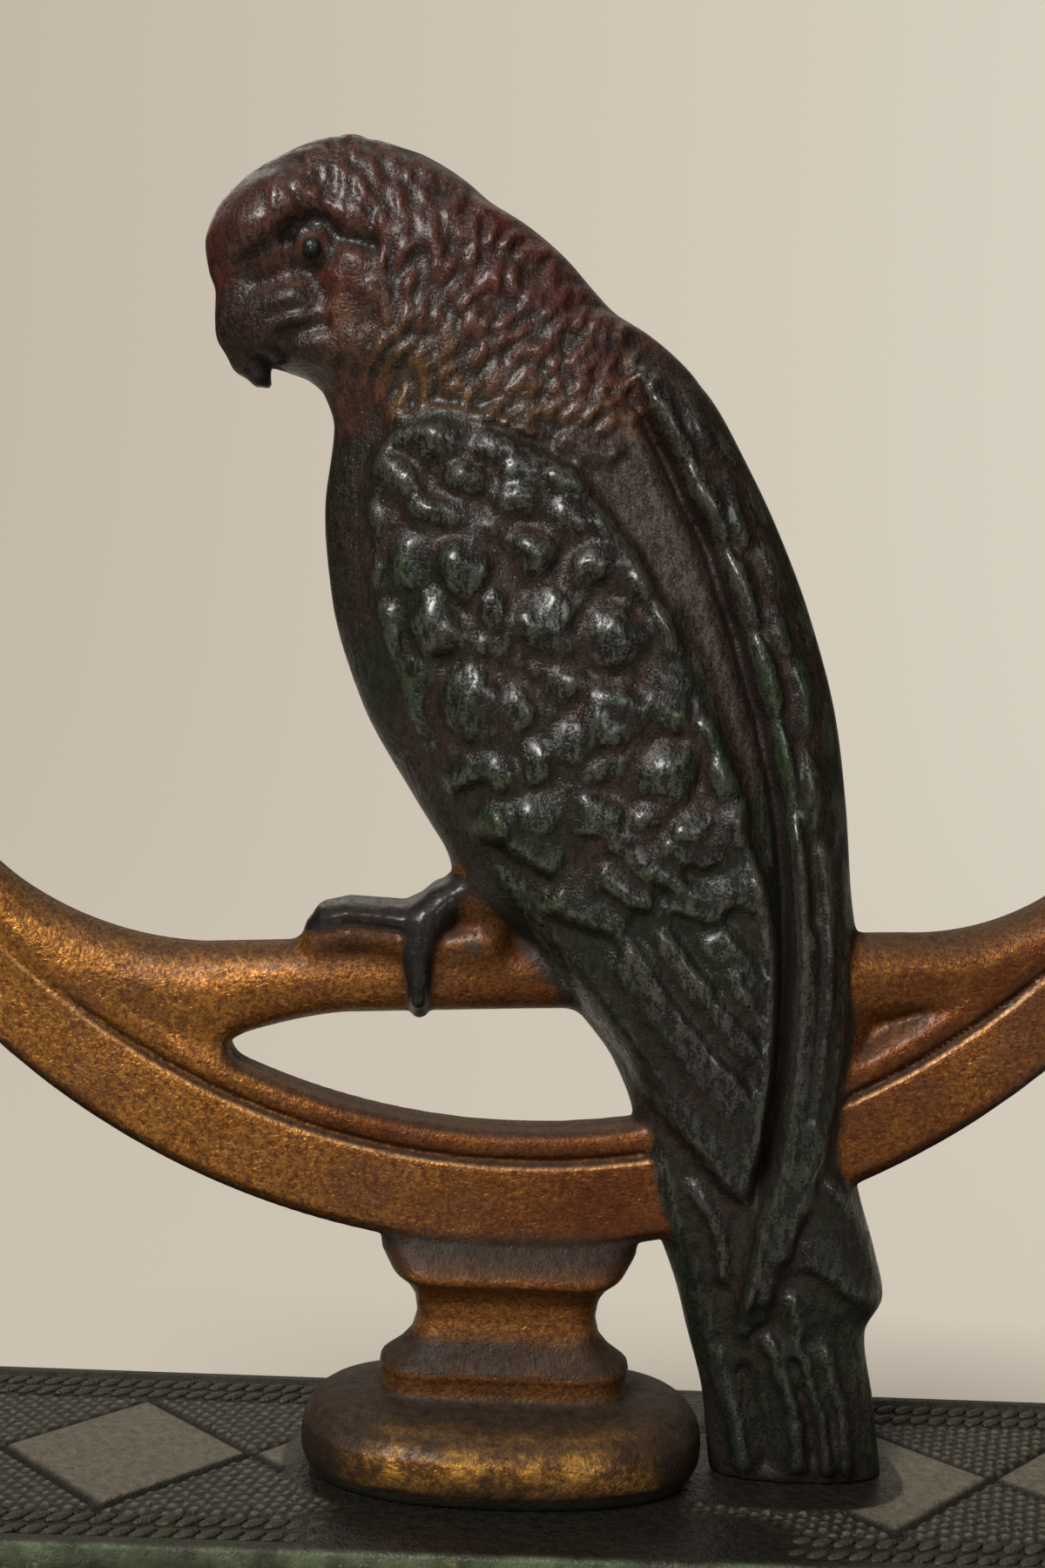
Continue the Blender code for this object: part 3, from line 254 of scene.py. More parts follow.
# Head
EYE = (-22.9, 119.7)
EYE_RADIUS = 0.95
EYE_RING = 1.7
BROW = [(-24.9, 120.6), (-24.4, 121.2), (-23.1, 121.8), (-22.2, 121.4), (-21.7, 120.7)]
BROW_SHADE = [(-26.4, 119.8), (-25.6, 120.9), (-24.3, 122.1), (-23.0, 122.6), (-21.7, 122.3),
              (-20.3, 120.9), (-18.0, 120.2), (-15.6, 119.8)]
LORE = [(-33.4, 114.6), (-31.5, 115.3), (-29.4, 116.7), (-25.5, 117.6), (-23.6, 117.5), (-22.8, 116.5),
        (-21.8, 115.4), (-20.2, 114.6)]
NOSTRIL_EDGE = [(-27.0, 113.2), (-25.1, 113.7), (-22.5, 114.1)]
MOUTH_RIDGE = [(-27.0, 112.1), (-26.4, 112.4), (-25.0, 112.9), (-23.5, 113.3), (-22.8, 113.4)]
MOUTH = [(-27.0, 111.0), (-25.6, 111.5), (-24.0, 112.0), (-21.9, 112.6), (-20.4, 112.8)]
BEAK_SPLIT = [(-24.5, 111.4), (-25.7, 110.2), (-26.5, 109.1), (-26.2, 107.8)]
FOREHEAD = [(-29.0, 123.2, 7.5, 4.0, -20.0, 1.7)]
FACE_PATCHES = [
    (-24.9, 115.2, 3.5, 1.9, -10.0, 0.3), (-19.0, 118.2, 2.7, 2.2, 0.0, 0.4),
    (-21.0, 117.5, 1.0, 0.7, 0.0, 0.5), (-20.2, 116.5, 1.1, 0.6, 20.0, 0.6),
    (-17.6, 116.2, 1.5, 0.8, 20.0, 0.5),
]
BEAK = [(-29.3, 116.0, 3.4), (-30.0, 112.6, 2.7), (-29.4, 110.2, 2.0), (-28.3, 108.5, 1.2),
        (-27.5, 107.7, 0.5)]
BEAK_DEPTH_SHARE = 0.85

# Short feathers: how often a place is tried, the ground that they cover, and how they lean at
# places on the bird
SCATTER_TRIES = 9000
CROWN = [
    (-27.0, 123.6), (-24.0, 128.6), (-18.0, 130.6), (-11.0, 128.6), (-6.0, 125.0), (-11.0, 122.8),
    (-16.0, 121.2), (-21.0, 123.4),
]
NECK = [
    (-15.4, 120.4), (-11.0, 122.8), (-6.0, 125.0), (0.0, 121.6), (5.0, 116.6), (8.4, 112.6), (9.6, 107.0),
    (8.0, 102.0), (4.6, 100.8), (1.0, 104.0), (-4.0, 105.2), (-9.0, 106.4), (-14.0, 105.6), (-17.6, 107.2),
    (-16.4, 112.0), (-17.0, 116.0),
]
THROAT = [(-17.6, 107.2), (-14.0, 105.6), (-18.2, 103.6), (-20.6, 104.6), (-21.4, 109.4), (-17.4, 112.6)]
LEANS = [
    (-25.0, 126.0, -24.0), (-19.0, 126.0, -28.0), (-13.0, 126.0, -26.0), (-9.0, 124.0, -12.0),
    (-13.0, 120.0, 20.0), (-7.0, 119.0, 24.0), (-1.0, 119.0, 14.0), (-15.0, 115.0, 16.0),
    (-9.0, 113.0, 28.0), (-2.0, 112.0, 38.0), (4.0, 112.0, 34.0), (-11.0, 108.0, 40.0), (-3.0, 108.0, 44.0),
    (4.0, 106.0, 42.0), (-18.0, 108.0, 20.0), (8.0, 104.0, 46.0),
]

# Leg and toes: across, up, in front of the seam, half height and half depth
LIMB_MARGIN = 9.0
THIGH = [(1.5, 65.0, 0.0, 5.2, 5.6), (-2.6, 60.0, 0.0, 4.0, 5.0), (-4.8, 57.4, 0.0, 2.8, 4.6)]
LONG_TOE = [
    (-3.8, 60.8, 0.0, 2.0, 3.8), (-6.4, 58.6, 0.2, 1.9, 4.4), (-8.8, 56.8, 0.6, 1.8, 4.4),
    (-11.6, 55.6, 0.6, 1.6, 4.1), (-14.6, 55.8, 0.5, 1.5, 4.0), (-17.4, 55.9, 0.5, 1.5, 3.9),
    (-19.4, 55.2, 0.4, 1.7, 3.5), (-20.6, 54.3, 0.2, 1.2, 2.7),
]
FRONT_TOE = [
    (-8.2, 57.4, 2.6, 1.7, 1.9), (-9.8, 55.0, 3.7, 1.7, 1.8), (-10.3, 52.2, 4.2, 1.45, 1.6),
    (-10.1, 49.8, 4.1, 1.1, 1.4), (-10.1, 47.8, 3.3, 0.95, 1.4), (-10.0, 46.6, 1.8, 0.9, 1.3),
]
MOUND = [
    (-20.4, 53.0, 0.6, 1.6, 3.0), (-17.0, 53.8, 1.0, 1.7, 3.4), (-13.0, 53.4, 1.4, 1.6, 3.2),
    (-8.0, 53.0, 1.0, 2.0, 3.4), (-4.0, 53.6, 0.8, 3.0, 4.2),
]
THIGH_EDGE = [(46.0, 5.4), (50.6, 2.4), (54.0, -0.6), (56.6, -2.4), (58.1, -4.5), (61.2, -6.4)]

# Paint: where the leg is gilded, one worn spot and its radius, how far the gold has aged across
# the figure, how much soot and painted shade lie on it by height, and how far out a hollow's depth is tested
LEG_BOTTOM = 46.0
LEG_TOP = 61.0
LEG_RIGHT = 9.0
WORN_SPOT = (-5.0, 53.4, 1.1)
AGED = [(-80.0, 0.0), (-52.0, 0.12), (-30.0, 0.3), (-12.0, 0.7), (4.0, 1.0), (30.0, 0.9), (80.0, 0.45)]
# Soot and painted shade by height: the pedestal's bands that face down or up are darkened, partly as soot and
# dust, partly as painted shade.
SOOT_AND_SHADE = [
    (0.0, 1.0), (1.2, 0.9), (2.4, 0.6), (3.4, 0.25), (4.6, 0.05), (6.4, 0.1), (7.2, 0.6), (7.8, 1.0),
    (8.5, 0.5), (10.2, 0.4), (11.0, 0.75), (13.0, 0.8), (14.6, 0.25), (16.5, 0.05), (18.8, 0.3),
    (20.2, 0.1), (20.8, 0.5), (22.0, 0.7), (23.6, 0.75), (25.5, 0.2), (27.0, 0.0),
]
HIDDEN_REACH = 1.3

# Base, in millimetres from the pedestal's axis
BASE_HALF_LENGTH = 0.5 * (BASE_HIGH.x - BASE_LOW.x) / MM
BASE_HALF_DEPTH = 0.5 * (BASE_HIGH.y - BASE_LOW.y) / MM
SHEET_INSET = 1.2
SCREW_HEAD_SINK = 2.3
SQUARE_DIAGONAL = 25.4
BORDER_WIDTH = 5.6
RIM_INSET = 1.7
BEAD_PITCH = 2.0
WEAVE_PITCH = 1.25
BRAID_SINK = 0.42

# Lengths from here on are in metres
BRAID = {
    "Pitch": BEAD_PITCH * MM, "Bead length": 1.5 * MM, "Bead width": 0.62 * MM, "Bead rise": 0.40 * MM,
    "Lean": math.radians(34.0),
}
POINTS_PER_CORNER = 9
SIDE_SPACING = 0.004
CYLINDER_SIDES = 40
PAINT_GRAIN = 0.0001
FLOOR_REACH = 6.0
SWEEP_START = 0.55
SWEEP_RADIUS = 0.35
SWEEP_STEPS = 12
WALL_HEIGHT = 2.4
COLOUR = {"subtype": 'COLOR', "size": 4}


def eased(stations, places):
    """Values that pass smoothly through (place, value) stations without overshooting."""
    x, y = np.array(stations, float).T
    step = np.diff(x)
    slope = np.diff(y) / step
    bend = np.zeros_like(y)
    same = slope[:-1] * slope[1:] > 0
    pair = slope[:-1][same] * slope[1:][same]
    bend[1:-1][same] = 2.0 * pair / (slope[:-1][same] + slope[1:][same])
    bend[0], bend[-1] = slope[0], slope[-1]
    i = np.clip(np.searchsorted(x, places) - 1, 0, len(step) - 1)
    t = np.clip((places - x[i]) / step[i], 0.0, 1.0)
    rise = t * t * (3.0 - 2.0 * t)
    lead = t * (1.0 - t) ** 2 * bend[i] - t * t * (1.0 - t) * bend[i + 1]
    return y[i] + (y[i + 1] - y[i]) * rise + step[i] * lead


def smooth(value):
    """Rises from 0 to 1 as value goes from 0 to 1."""
    t = np.clip(value, 0.0, 1.0)
    return t * t * (3.0 - 2.0 * t)


def soft_max(a, b, reach):
    """Larger of two fields, with a fillet where they meet."""
    near = np.clip(1.0 - np.abs(a - b) / reach, 0.0, 1.0)
    return np.maximum(a, b) + 0.25 * reach * near ** 2


def soft_min(a, b, reach):
    """Smaller of two fields, with a rounded edge where they meet."""
    return -soft_max(-a, -b, reach)


def line_distance(x, z, line):
    """Distance to a broken line, and the share of its length where the nearest point lies."""
    points = np.array(line, float)[:, :2]
    lengths = np.hypot(*np.diff(points, axis=0).T)
    run = np.concatenate([[0.0], np.cumsum(lengths)]) / lengths.sum()
    best = np.full(np.shape(x), 1e6)
    share = np.zeros(np.shape(x))
    for i, ((ax, az), (bx, bz)) in enumerate(zip(points, points[1:])):
        t = np.clip(((x - ax) * (bx - ax) + (z - az) * (bz - az)) / lengths[i] ** 2, 0.0, 1.0)
        away = np.hypot(x - ax - t * (bx - ax), z - az - t * (bz - az))
        nearer = away < best
        best = np.where(nearer, away, best)
        share = np.where(nearer, run[i] + t * (run[i + 1] - run[i]), share)
    return best, share


def within(x, z, outline):
    """Depth inside a closed outline, negative outside it."""
    closed = list(outline) + [outline[0]]
    crossed = np.zeros(np.shape(x), bool)
    for (ax, az), (bx, bz) in zip(closed, closed[1:]):
        if az != bz:
            meeting = ax + (z - az) * (bx - ax) / (bz - az)
            crossed ^= ((az > z) != (bz > z)) & (x < meeting)
    away = line_distance(x, z, closed)[0]
    return np.where(crossed, away, -away)


def crest(x, z, width, rise, line, fade=0.12):
    """A ridge along a line that dies out at both ends."""
    away, share = line_distance(x, z, line)
    ends = smooth(share / fade) * smooth((1.0 - share) / fade)
    return rise * np.exp(-(away / width) ** 2) * ends


def turned(across, up, lean):
    """An offset's parts along and beside something that leans from upright."""
    turn = math.radians(lean)
    return across * math.sin(turn) + up * math.cos(turn), across * math.cos(turn) - up * math.sin(turn)


def dome(x, z, feather, roundness, overlap, lip):
    """One rounded feather, highest towards its lower end, with a low lip around it."""
    across, up, half_width, half_length, lean, rise = feather
    along, beside = turned(x - across, z - up, lean)
    reach = (beside / half_width) ** 2 + (along / half_length) ** 2
    body = np.clip(1.0 - reach, 0.0, 1.0) ** roundness
    round_it = lip * np.exp(-((np.sqrt(reach) - 1.24) / 0.13) ** 2)
    return np.maximum(rise * body * (1.0 - overlap * np.clip(along / half_length, -1.0, 1.0)), round_it)


def wander(x, z, pitch, seed):
    """Smoothly uneven values, mostly between -1 and 1, for wavering lines and uneven ground."""
    pick = np.random.default_rng(seed)
    total = np.zeros_like(x)
    for _ in range(8):
        turn = pick.uniform(0.0, math.tau)
        wave = math.tau / (pitch * pick.uniform(0.7, 1.6))
        total += np.sin((x * math.cos(turn) + z * math.sin(turn)) * wave + pick.uniform(0.0, math.tau))
    return total / 2.8


def lean_at(across, up):
    """How far the short feathers lean at a place, blended from the leans around it."""
    table = np.array(LEANS)
    weight = 1.0 / ((table[:, 0] - across) ** 2 + (table[:, 1] - up) ** 2 + 4.0) ** 1.5
    return float((weight * table[:, 2]).sum() / weight.sum())


def scattered(outline, half_width, half_length, rise, seed):
    """Short feathers spread evenly over a ground, each leaning as its place asks."""
    pick = np.random.default_rng(seed)
    corners = np.array(outline)
    spots = pick.uniform(corners.min(0), corners.max(0), (SCATTER_TRIES, 2))
    spots = spots[within(spots[:, 0], spots[:, 1], outline) > -0.2]
    kept = np.empty((0, 2))
    feathers = []
    for across, up in spots:
        lean = lean_at(across, up)
        along, beside = turned(*(kept - (across, up)).T, lean)
        apart = (along / (1.7 * half_length)) ** 2 + (beside / (1.75 * half_width)) ** 2
        if len(kept) and apart.min() <= 1.0:
            continue
        kept = np.vstack([kept, (across, up)])
        size = pick.uniform(0.85, 1.2)
        lean += pick.uniform(-7.0, 7.0)
        rises = rise * pick.uniform(0.8, 1.15)
        feathers.append((across, up, half_width * size, half_length * size, lean, rises))
    return feathers


def softened(height, rounds):
    """The height map after a few rounds of smoothing with its neighbours."""
    for _ in range(rounds):
        for axis, size in enumerate(height.shape):
            edged = np.pad(height, [(int(side == axis),) * 2 for side in (0, 1)], 'edge')
            before, after = (np.take(edged, range(start, start + size), axis) for start in (0, 2))
            height = 0.25 * before + 0.5 * height + 0.25 * after
    return height


def lay_feathers(x, z, feathers, roundness=0.7, overlap=0.35, waver=0.3, lip=0.0):
    """Height map of feathers, the higher one showing where they overlap."""
    relief = np.zeros_like(x)
    across = x + waver * wander(x, z, 6.5, 21)
    up = z + waver * wander(x, z, 6.5, 22)
    for feather in feathers:
        reach = (1.6 if lip else 1.1) * max(feather[2], feather[3]) + 2.0 * waver
        i = slice(*np.searchsorted(x[:, 0], (feather[0] - reach, feather[0] + reach)))
        k = slice(*np.searchsorted(z[0], (feather[1] - reach, feather[1] + reach)))
        patch = dome(across[i, k], up[i, k], feather, roundness, overlap, lip)
        relief[i, k] = np.maximum(relief[i, k], patch)
    return relief


def ledge(x, z, width, rise, line, beside=1.0, above=1.0):
    """A feather's swelling that ends in a low lip, with a hollow beyond it on the given side."""
    swelling = crest(x + 0.9 * beside, z + 0.9 * above, 2.2 * width, 0.75 * rise, line)
    hollow = crest(x - beside, z - above, width, 0.5 * rise, line)
    return swelling + crest(x, z, 0.8 * width, 0.35 * rise, line) - hollow


def past_groove(x, z):
    """How far to the right of the back's groove a place lies."""
    return x - eased([(up, across) for across, up in BACK_GROOVE], z)


def carving(x, z):
    """The parrot's relief above its plain body."""
    wing = within(x, z, NEAR_WING)
    margin = smooth((x + 18.5 - 0.38 * (98.0 - z)) / 5.0)
    plate = 1.5 * smooth(wing / 1.5) * (0.45 + 0.55 * np.maximum(margin, smooth((z - 96.0) / 5.0)))
    covered = smooth((z - 64.0) / 8.0) * smooth(wing / 2.0)
    coverts = [(a, b, 1.1 * wide, 1.1 * tall, lean, 1.1 * rise) for a, b, wide, tall, lean, rise in COVERTS]
    relief = plate + smooth(wing / 1.2) * lay_feathers(x, z, coverts, 0.8, 0.4, 0.3, 0.28)
    for amount, across, up, pitch, seed in (
            (0.26 * covered, x, z, 4.0, 23),
            (0.065 * smooth((104.0 - z) / 6.0), x, 0.5 * z, 0.95, 25),
            (0.07 * smooth((58.0 - z) / 10.0), x + 0.2 * z, 0.12 * z, 1.7, 26),
            (0.1 * smooth((106.0 - z) / 6.0) * (0.3 + 0.7 * covered), x, 0.6 * z, 1.9, 24)):
        relief += amount * wander(across, up, pitch, seed)
    fine = scattered(NECK, 0.62, 1.9, 0.9, 11) + scattered(CROWN, 0.56, 2.4, 0.7, 12)
    fine += scattered(THROAT, 0.6, 1.3, 0.3, 13)
    relief += lay_feathers(x, z, fine, 0.75, 0.1, 0.4) + lay_feathers(x, z, FAR_FEATHERS, 0.8, 0.3, 0.25)
    groove_line, groove_share = line_distance(x, z, BACK_GROOVE)
    groove_run = smooth(groove_share / 0.06) * smooth((1.0 - groove_share) / 0.12)
    beside = past_groove(x, z)
    relief -= 2.0 * np.exp(-(groove_line / 0.8) ** 2) * groove_run
    relief += 0.8 * smooth((beside - 0.3) / 1.6) * smooth((z - 30.0) / 8.0) * smooth((112.0 - z) / 6.0)
    relief += 0.8 * smooth(within(x, z, BUNDLE) / 1.1) * smooth((40.0 - z) / 8.0)
    for width, rise, line in WING_EDGES:
        relief += crest(x, z, width, 1.4 * rise, line)
    for width, rise, line in WING_CRESTS:
        relief += ledge(x, z, 0.9 * width, 1.3 * rise, line, 0.0, -1.2)
    for width, rise, line in TAIL_CRESTS:
        relief += crest(x, z, width, 1.4 * rise, line)
    for width, rise, line in SECONDARIES:
        relief += ledge(x, z, width, rise, line)
    for width, rise, line in FLIGHT_CRESTS:
        relief += crest(x, z, width, 1.3 * rise, line, 0.06)
    relief += 0.9 * smooth(within(x, z, LOBE) / 1.4)
    return softened(face_carving(relief, x, z), 1)


def face_carving(relief, x, z):
    """The relief with the brow, lore, beak, eye socket and the swellings of the face added."""
    relief += crest(x, z, 0.55, 0.3, BROW) - crest(x, z, 0.8, 1.2, BROW_SHADE) - crest(x, z, 1.6, 1.4, LORE)
    relief += crest(x, z, 0.42, 0.75, MOUTH_RIDGE, 0.3) - crest(x, z, 0.45, 0.45, NOSTRIL_EDGE)
    relief -= crest(x, z, 0.85, 0.9, MOUTH) + crest(x, z, 0.6, 0.7, BEAK_SPLIT)
    reach = np.hypot(x - EYE[0], z - EYE[1])
    relief -= 0.8 * np.exp(-((reach - 1.1 * EYE_RING) / 0.9) ** 2) + 0.1 * np.exp(-(reach / 1.2) ** 2)
    relief += lay_feathers(x, z, FACE_PATCHES, 0.9, 0.0) + lay_feathers(x, z, FOREHEAD, 1.0, 0.5)
    return relief


def body_field(x, f, z, relief):
    """Parrot's body as a field in millimetres, positive inside."""
    left, right, half = (eased([(row[0], row[i]) for row in BODY], z[0]) for i in (1, 2, 3))
    across = np.abs((2.0 * x - left - right) / (right - left)) ** 2.4
    flat = (f[None, :, None] / half[None, None, :]) ** 2 + across[:, None, :]
    size = np.minimum(half, 0.5 * (right - left))
    raw = (1.0 - np.sqrt(flat)) * size[None, None, :]
    shown = smooth(np.minimum(x - left, right - x) / 4.2)
    made = raw / slope_of(raw, x[:, 0], f, z[0]) + (relief * shown)[:, None, :]
    return soft_min(made, BODY_TOP - z[:, None, :], 1.0)


def slope_of(field, x, f, z):
    """How fast a field falls per millimetre, kept away from zero."""
    total = sum(part ** 2 for part in np.gradient(field, x, f, z))
    return np.maximum(np.sqrt(total), 0.3)


def perch_top(x):
    """Height of the branch's upper edge, with its fillets into the ring."""
    fillet = np.where(x < 0.0, PERCH_FILLET_LEFT, PERCH_FILLET_RIGHT)
    side = np.where(x < 0.0, PERCH_TOP_LEFT, PERCH_TOP_RIGHT)
    centre = np.sqrt((RING_OPENING - fillet) ** 2 - (OPENING_CENTRE - side - fillet) ** 2)
    run = np.clip(np.abs(x) - centre, 0.0, 0.98 * fillet)
    share = np.clip((x + centre) / (2.0 * centre), 0.0, 1.0)
    level = PERCH_TOP_LEFT + (PERCH_TOP_RIGHT - PERCH_TOP_LEFT) * share
    return level + fillet - np.sqrt(fillet ** 2 - run ** 2)


def ring_front(inward, total):
    """Depth of the ring's front face: bead, groove, flat band and stepped rim from inside out."""
    floor = RING_DEPTH - GROOVE_DEPTH
    from_middle = (inward - 0.44 * BEAD_WIDTH) / (0.46 * BEAD_WIDTH)
    bead = floor + 0.95 * GROOVE_DEPTH * np.clip(1.0 - from_middle ** 2, 0.0, 1.0) ** 0.6
    band = floor + GROOVE_DEPTH * smooth((inward - BEAD_WIDTH + 0.25) / 0.9)
    outward = total - inward
    return np.maximum(bead, band) - RIM_STEP * smooth((RIM_WIDTH + 0.25 - outward) / 0.5)


def gilt_field(x, f, z):
    """Ring, perch and pedestal as one field in millimetres, positive inside."""
    depth = f[None, :, None]
    inward = np.hypot(x, z - OPENING_CENTRE) - RING_OPENING
    outward = RING_OUTER - np.hypot(x, z - RING_CENTRE)
    front = ring_front(inward, inward + outward)
    edge = soft_min(inward, outward, 0.5)
    ring = soft_min(front[:, None, :] - depth, edge[:, None, :], 0.45)
    top = perch_top(x)
    sag = np.clip((PERCH_DROP_FROM - x) / PERCH_DROP_RUN, 0.0, 1.0) ** 1.6
    tall = 0.5 * (PERCH_THICKNESS + PERCH_DROP * sag)
    axis = top - tall
    rod = ((z - axis) / tall)[:, None, :] ** 2 + (depth / PERCH_DEPTH) ** 2
    rod = (1.0 - np.sqrt(rod)) * 0.5 * PERCH_THICKNESS
    rod = rod / slope_of(rod, x[:, 0], f, z[0])
    rod = soft_min(rod, (0.86 * RING_OPENING - np.abs(x))[:, None, :], 0.8)
    side = np.maximum(CROTCH_LEFT - 0.8 - x, x - WEB_RIGHT)
    plate = soft_min(soft_min(side, axis - z, 1.2), 1.5 - inward, 0.6)
    pocket = WEB_POCKET_DEPTH * smooth((within(x, z, WEB_POCKET) + 1.4) / 3.4)
    web = soft_min(plate[:, None, :], (PERCH_DEPTH - 1.1 - pocket)[:, None, :] - depth, 0.9)
    perch = soft_max(rod, web, 2.2)
    gilt = soft_max(perch, ring, 1.7)
    return soft_max(gilt, pedestal_field(x, f, z), 1.6)


def pedestal_field(x, f, z):
    """Flattened turned pedestal under the ring."""
    height, half_width, half_depth = np.array(PEDESTAL).T
    wide = np.interp(z[0], height, half_width)
    deep = np.interp(z[0], height, half_depth)
    beside = np.abs(x / wide)[:, None, :]
    ahead = np.abs(f)[None, :, None] / deep[None, None, :]
    reach = (beside ** PEDESTAL_SQUARENESS + ahead ** PEDESTAL_SQUARENESS) ** (1.0 / PEDESTAL_SQUARENESS)
    slant = (beside + 0.42 * ahead) / 1.22
    faceted = (ahead ** FACET_SHARPNESS + beside ** FACET_SHARPNESS + slant ** FACET_SHARPNESS)
    reach = np.where(z[:, None, :] > FACETS_FROM, faceted ** (1.0 / FACET_SHARPNESS), reach)
    raw = (1.0 - reach) * deep[None, None, :]
    made = raw / slope_of(raw, x[:, 0], f, z[0])
    return soft_min(made, (PEDESTAL[-1][0] - z)[:, None, :], 0.8)


def limb_field(x, f, z, route):
    """Tapering limb along a route of points with their own half height and half depth."""
    made = np.full((x.shape[0], len(f), x.shape[1]), FAR_OUTSIDE)
    low = np.min(route, 0) - LIMB_MARGIN
    high = np.max(route, 0) + LIMB_MARGIN
    i = slice(*np.searchsorted(x[:, 0], (low[0], high[0])))
    k = slice(*np.searchsorted(z[0], (low[1], high[1])))
    px, pz = x[i, k][:, None, :], z[i, k][:, None, :]
    depth = f[None, :, None]
    part = np.full((px.shape[0], len(f), px.shape[2]), FAR_OUTSIDE)
    for start, end in zip(np.array(route), np.array(route)[1:]):
        step = end[:3] - start[:3]
        ahead = (px - start[0]) * step[0] + (pz - start[1]) * step[1] + (depth - start[2]) * step[2]
        t = np.clip(ahead / (step @ step), 0.0, 1.0)
        tall, deep = (start[row] + t * (end[row] - start[row]) for row in (3, 4))
        flat = np.hypot(px - start[0] - t * step[0], pz - start[1] - t * step[1]) / tall
        reach = np.hypot(flat, (depth - start[2] - t * step[2]) / deep)
        part = np.maximum(part, (1.0 - reach) * np.minimum(tall, deep))
    made[i, :, k] = part
    return made


def grid_planes(low, fine_low, fine_high, high, fine, coarse):
    """Places of the grid's planes, close together on the parrot and wider elsewhere."""
    def run(start, end, step):
        return np.linspace(start, end, max(2, int(round((end - start) / step)) + 1))
    below, above = run(low, fine_low, coarse)[:-1], run(fine_high, high, coarse)[1:]
    return np.concatenate([below, run(fine_low, fine_high, fine), above])


def skin(field, planes):
    """Surface of a field as vertices and quads, one vertex in each cell that the surface crosses."""
    inside = field > 0.0
    size = tuple(n - 1 for n in inside.shape)
    corner_sum = np.zeros(size, np.int8)
    for corner in CORNERS:
        corner_sum += inside[tuple(slice(start, start + n) for start, n in zip(corner, size))]
    cells = np.argwhere((corner_sum > 0) & (corner_sum < len(CORNERS)))
    number = np.full(size, -1, np.int32)
    number[tuple(cells.T)] = np.arange(len(cells))
    quads = [quads_across(inside, number, *axes) for axes in AXES]
    return crossings(field, planes, cells), np.concatenate(quads)


def crossings(field, planes, cells):
    """For each cell, the middle of the points where its edges meet the surface."""
    total = np.zeros((len(cells), 3))
    count = np.zeros(len(cells))
    for axis, one, two in AXES:
        for a, b in itertools.product((0, 1), repeat=2):
            start = cells.copy()
            start[:, one] += a
            start[:, two] += b
            end = start.copy()
            end[:, axis] += 1
            near = field[tuple(start.T)]
            far = field[tuple(end.T)]
            cut = (near > 0.0) != (far > 0.0)
            share = near[cut] / (near[cut] - far[cut])
            for other in range(3):
                first = planes[other][start[cut, other]]
                second = planes[other][end[cut, other]]
                total[cut, other] += first + share * (second - first)
            count[cut] += 1
    return total / count[:, None]


def quads_across(inside, number, axis, one, two):
    """Quads of the surface where it crosses the grid's edges along one axis, facing outwards."""
    first = np.take(inside, range(inside.shape[axis] - 1), axis)
    second = np.take(inside, range(1, inside.shape[axis]), axis)
    edges = np.argwhere(first != second)
    edges = edges[(edges[:, one] > 0) & (edges[:, two] > 0)]
    edges = edges[(edges[:, one] < inside.shape[one] - 1) & (edges[:, two] < inside.shape[two] - 1)]
    loop = []
    for a, b in ((-1, -1), (0, -1), (0, 0), (-1, 0)):
        cell = edges.copy()
        cell[:, one] += a
        cell[:, two] += b
        loop.append(number[tuple(cell.T)])
    quad = np.stack(loop, 1)
    outward = inside[tuple(edges.T)] ^ (axis == 1)
    quad[~outward] = quad[~outward][:, ::-1]
    return quad


def sampled(volume, planes, points):
    """Values of a volume at points inside its grid."""
    base = []
    shares = []
    for places, column in zip(planes, points.T):
        i = np.clip(np.searchsorted(places, column) - 1, 0, len(places) - 2)
        base.append(i)
        shares.append(np.clip((column - places[i]) / (places[i + 1] - places[i]), 0.0, 1.0))
    total = 0.0
    for a, b, c in CORNERS:
        weight = np.abs(1 - a - shares[0]) * np.abs(1 - b - shares[1]) * np.abs(1 - c - shares[2])
        total = total + weight * volume[base[0] + a, base[1] + b, base[2] + c]
    return total


def placed(name, data):
    """A new object in the scene that holds the data."""
    made = bpy.data.objects.new(name, data)
    bpy.context.scene.collection.objects.link(made)
    return made


def mesh_object(name, points, faces):
    """A new object from arrays of points in metres and faces."""
    mesh = bpy.data.meshes.new(name)
    mesh.vertices.add(len(points))
    mesh.vertices.foreach_set("co", np.asarray(points, np.float32).ravel())
    mesh.loops.add(faces.size)
    mesh.loops.foreach_set("vertex_index", faces.astype(np.int32).ravel())
    mesh.polygons.add(len(faces))
    mesh.polygons.foreach_set("loop_start", np.arange(0, faces.size, faces.shape[1], dtype=np.int32))
    mesh.update(calc_edges=True)
    mesh.validate()
    return placed(name, mesh)


def settle(piece, modifier):
    """Apply a piece's modifier."""
    evaluated = piece.evaluated_get(bpy.context.evaluated_depsgraph_get())
    result = bpy.data.meshes.new_from_object(evaluated)
    piece.modifiers.remove(modifier)
    piece.data = result


def vertex_rows(mesh, name):
    """Each vertex's place or normal as a row of three numbers."""
    rows = np.empty(3 * len(mesh.vertices), np.float32)
    mesh.vertices.foreach_get(name, rows)
    return rows.reshape(-1, 3)


def add_attribute(mesh, name, values):
    """A number for each vertex, for the materials to read."""
    attribute = mesh.attributes.new(name, 'FLOAT', 'POINT')
    attribute.data.foreach_set("value", np.asarray(values, np.float32))


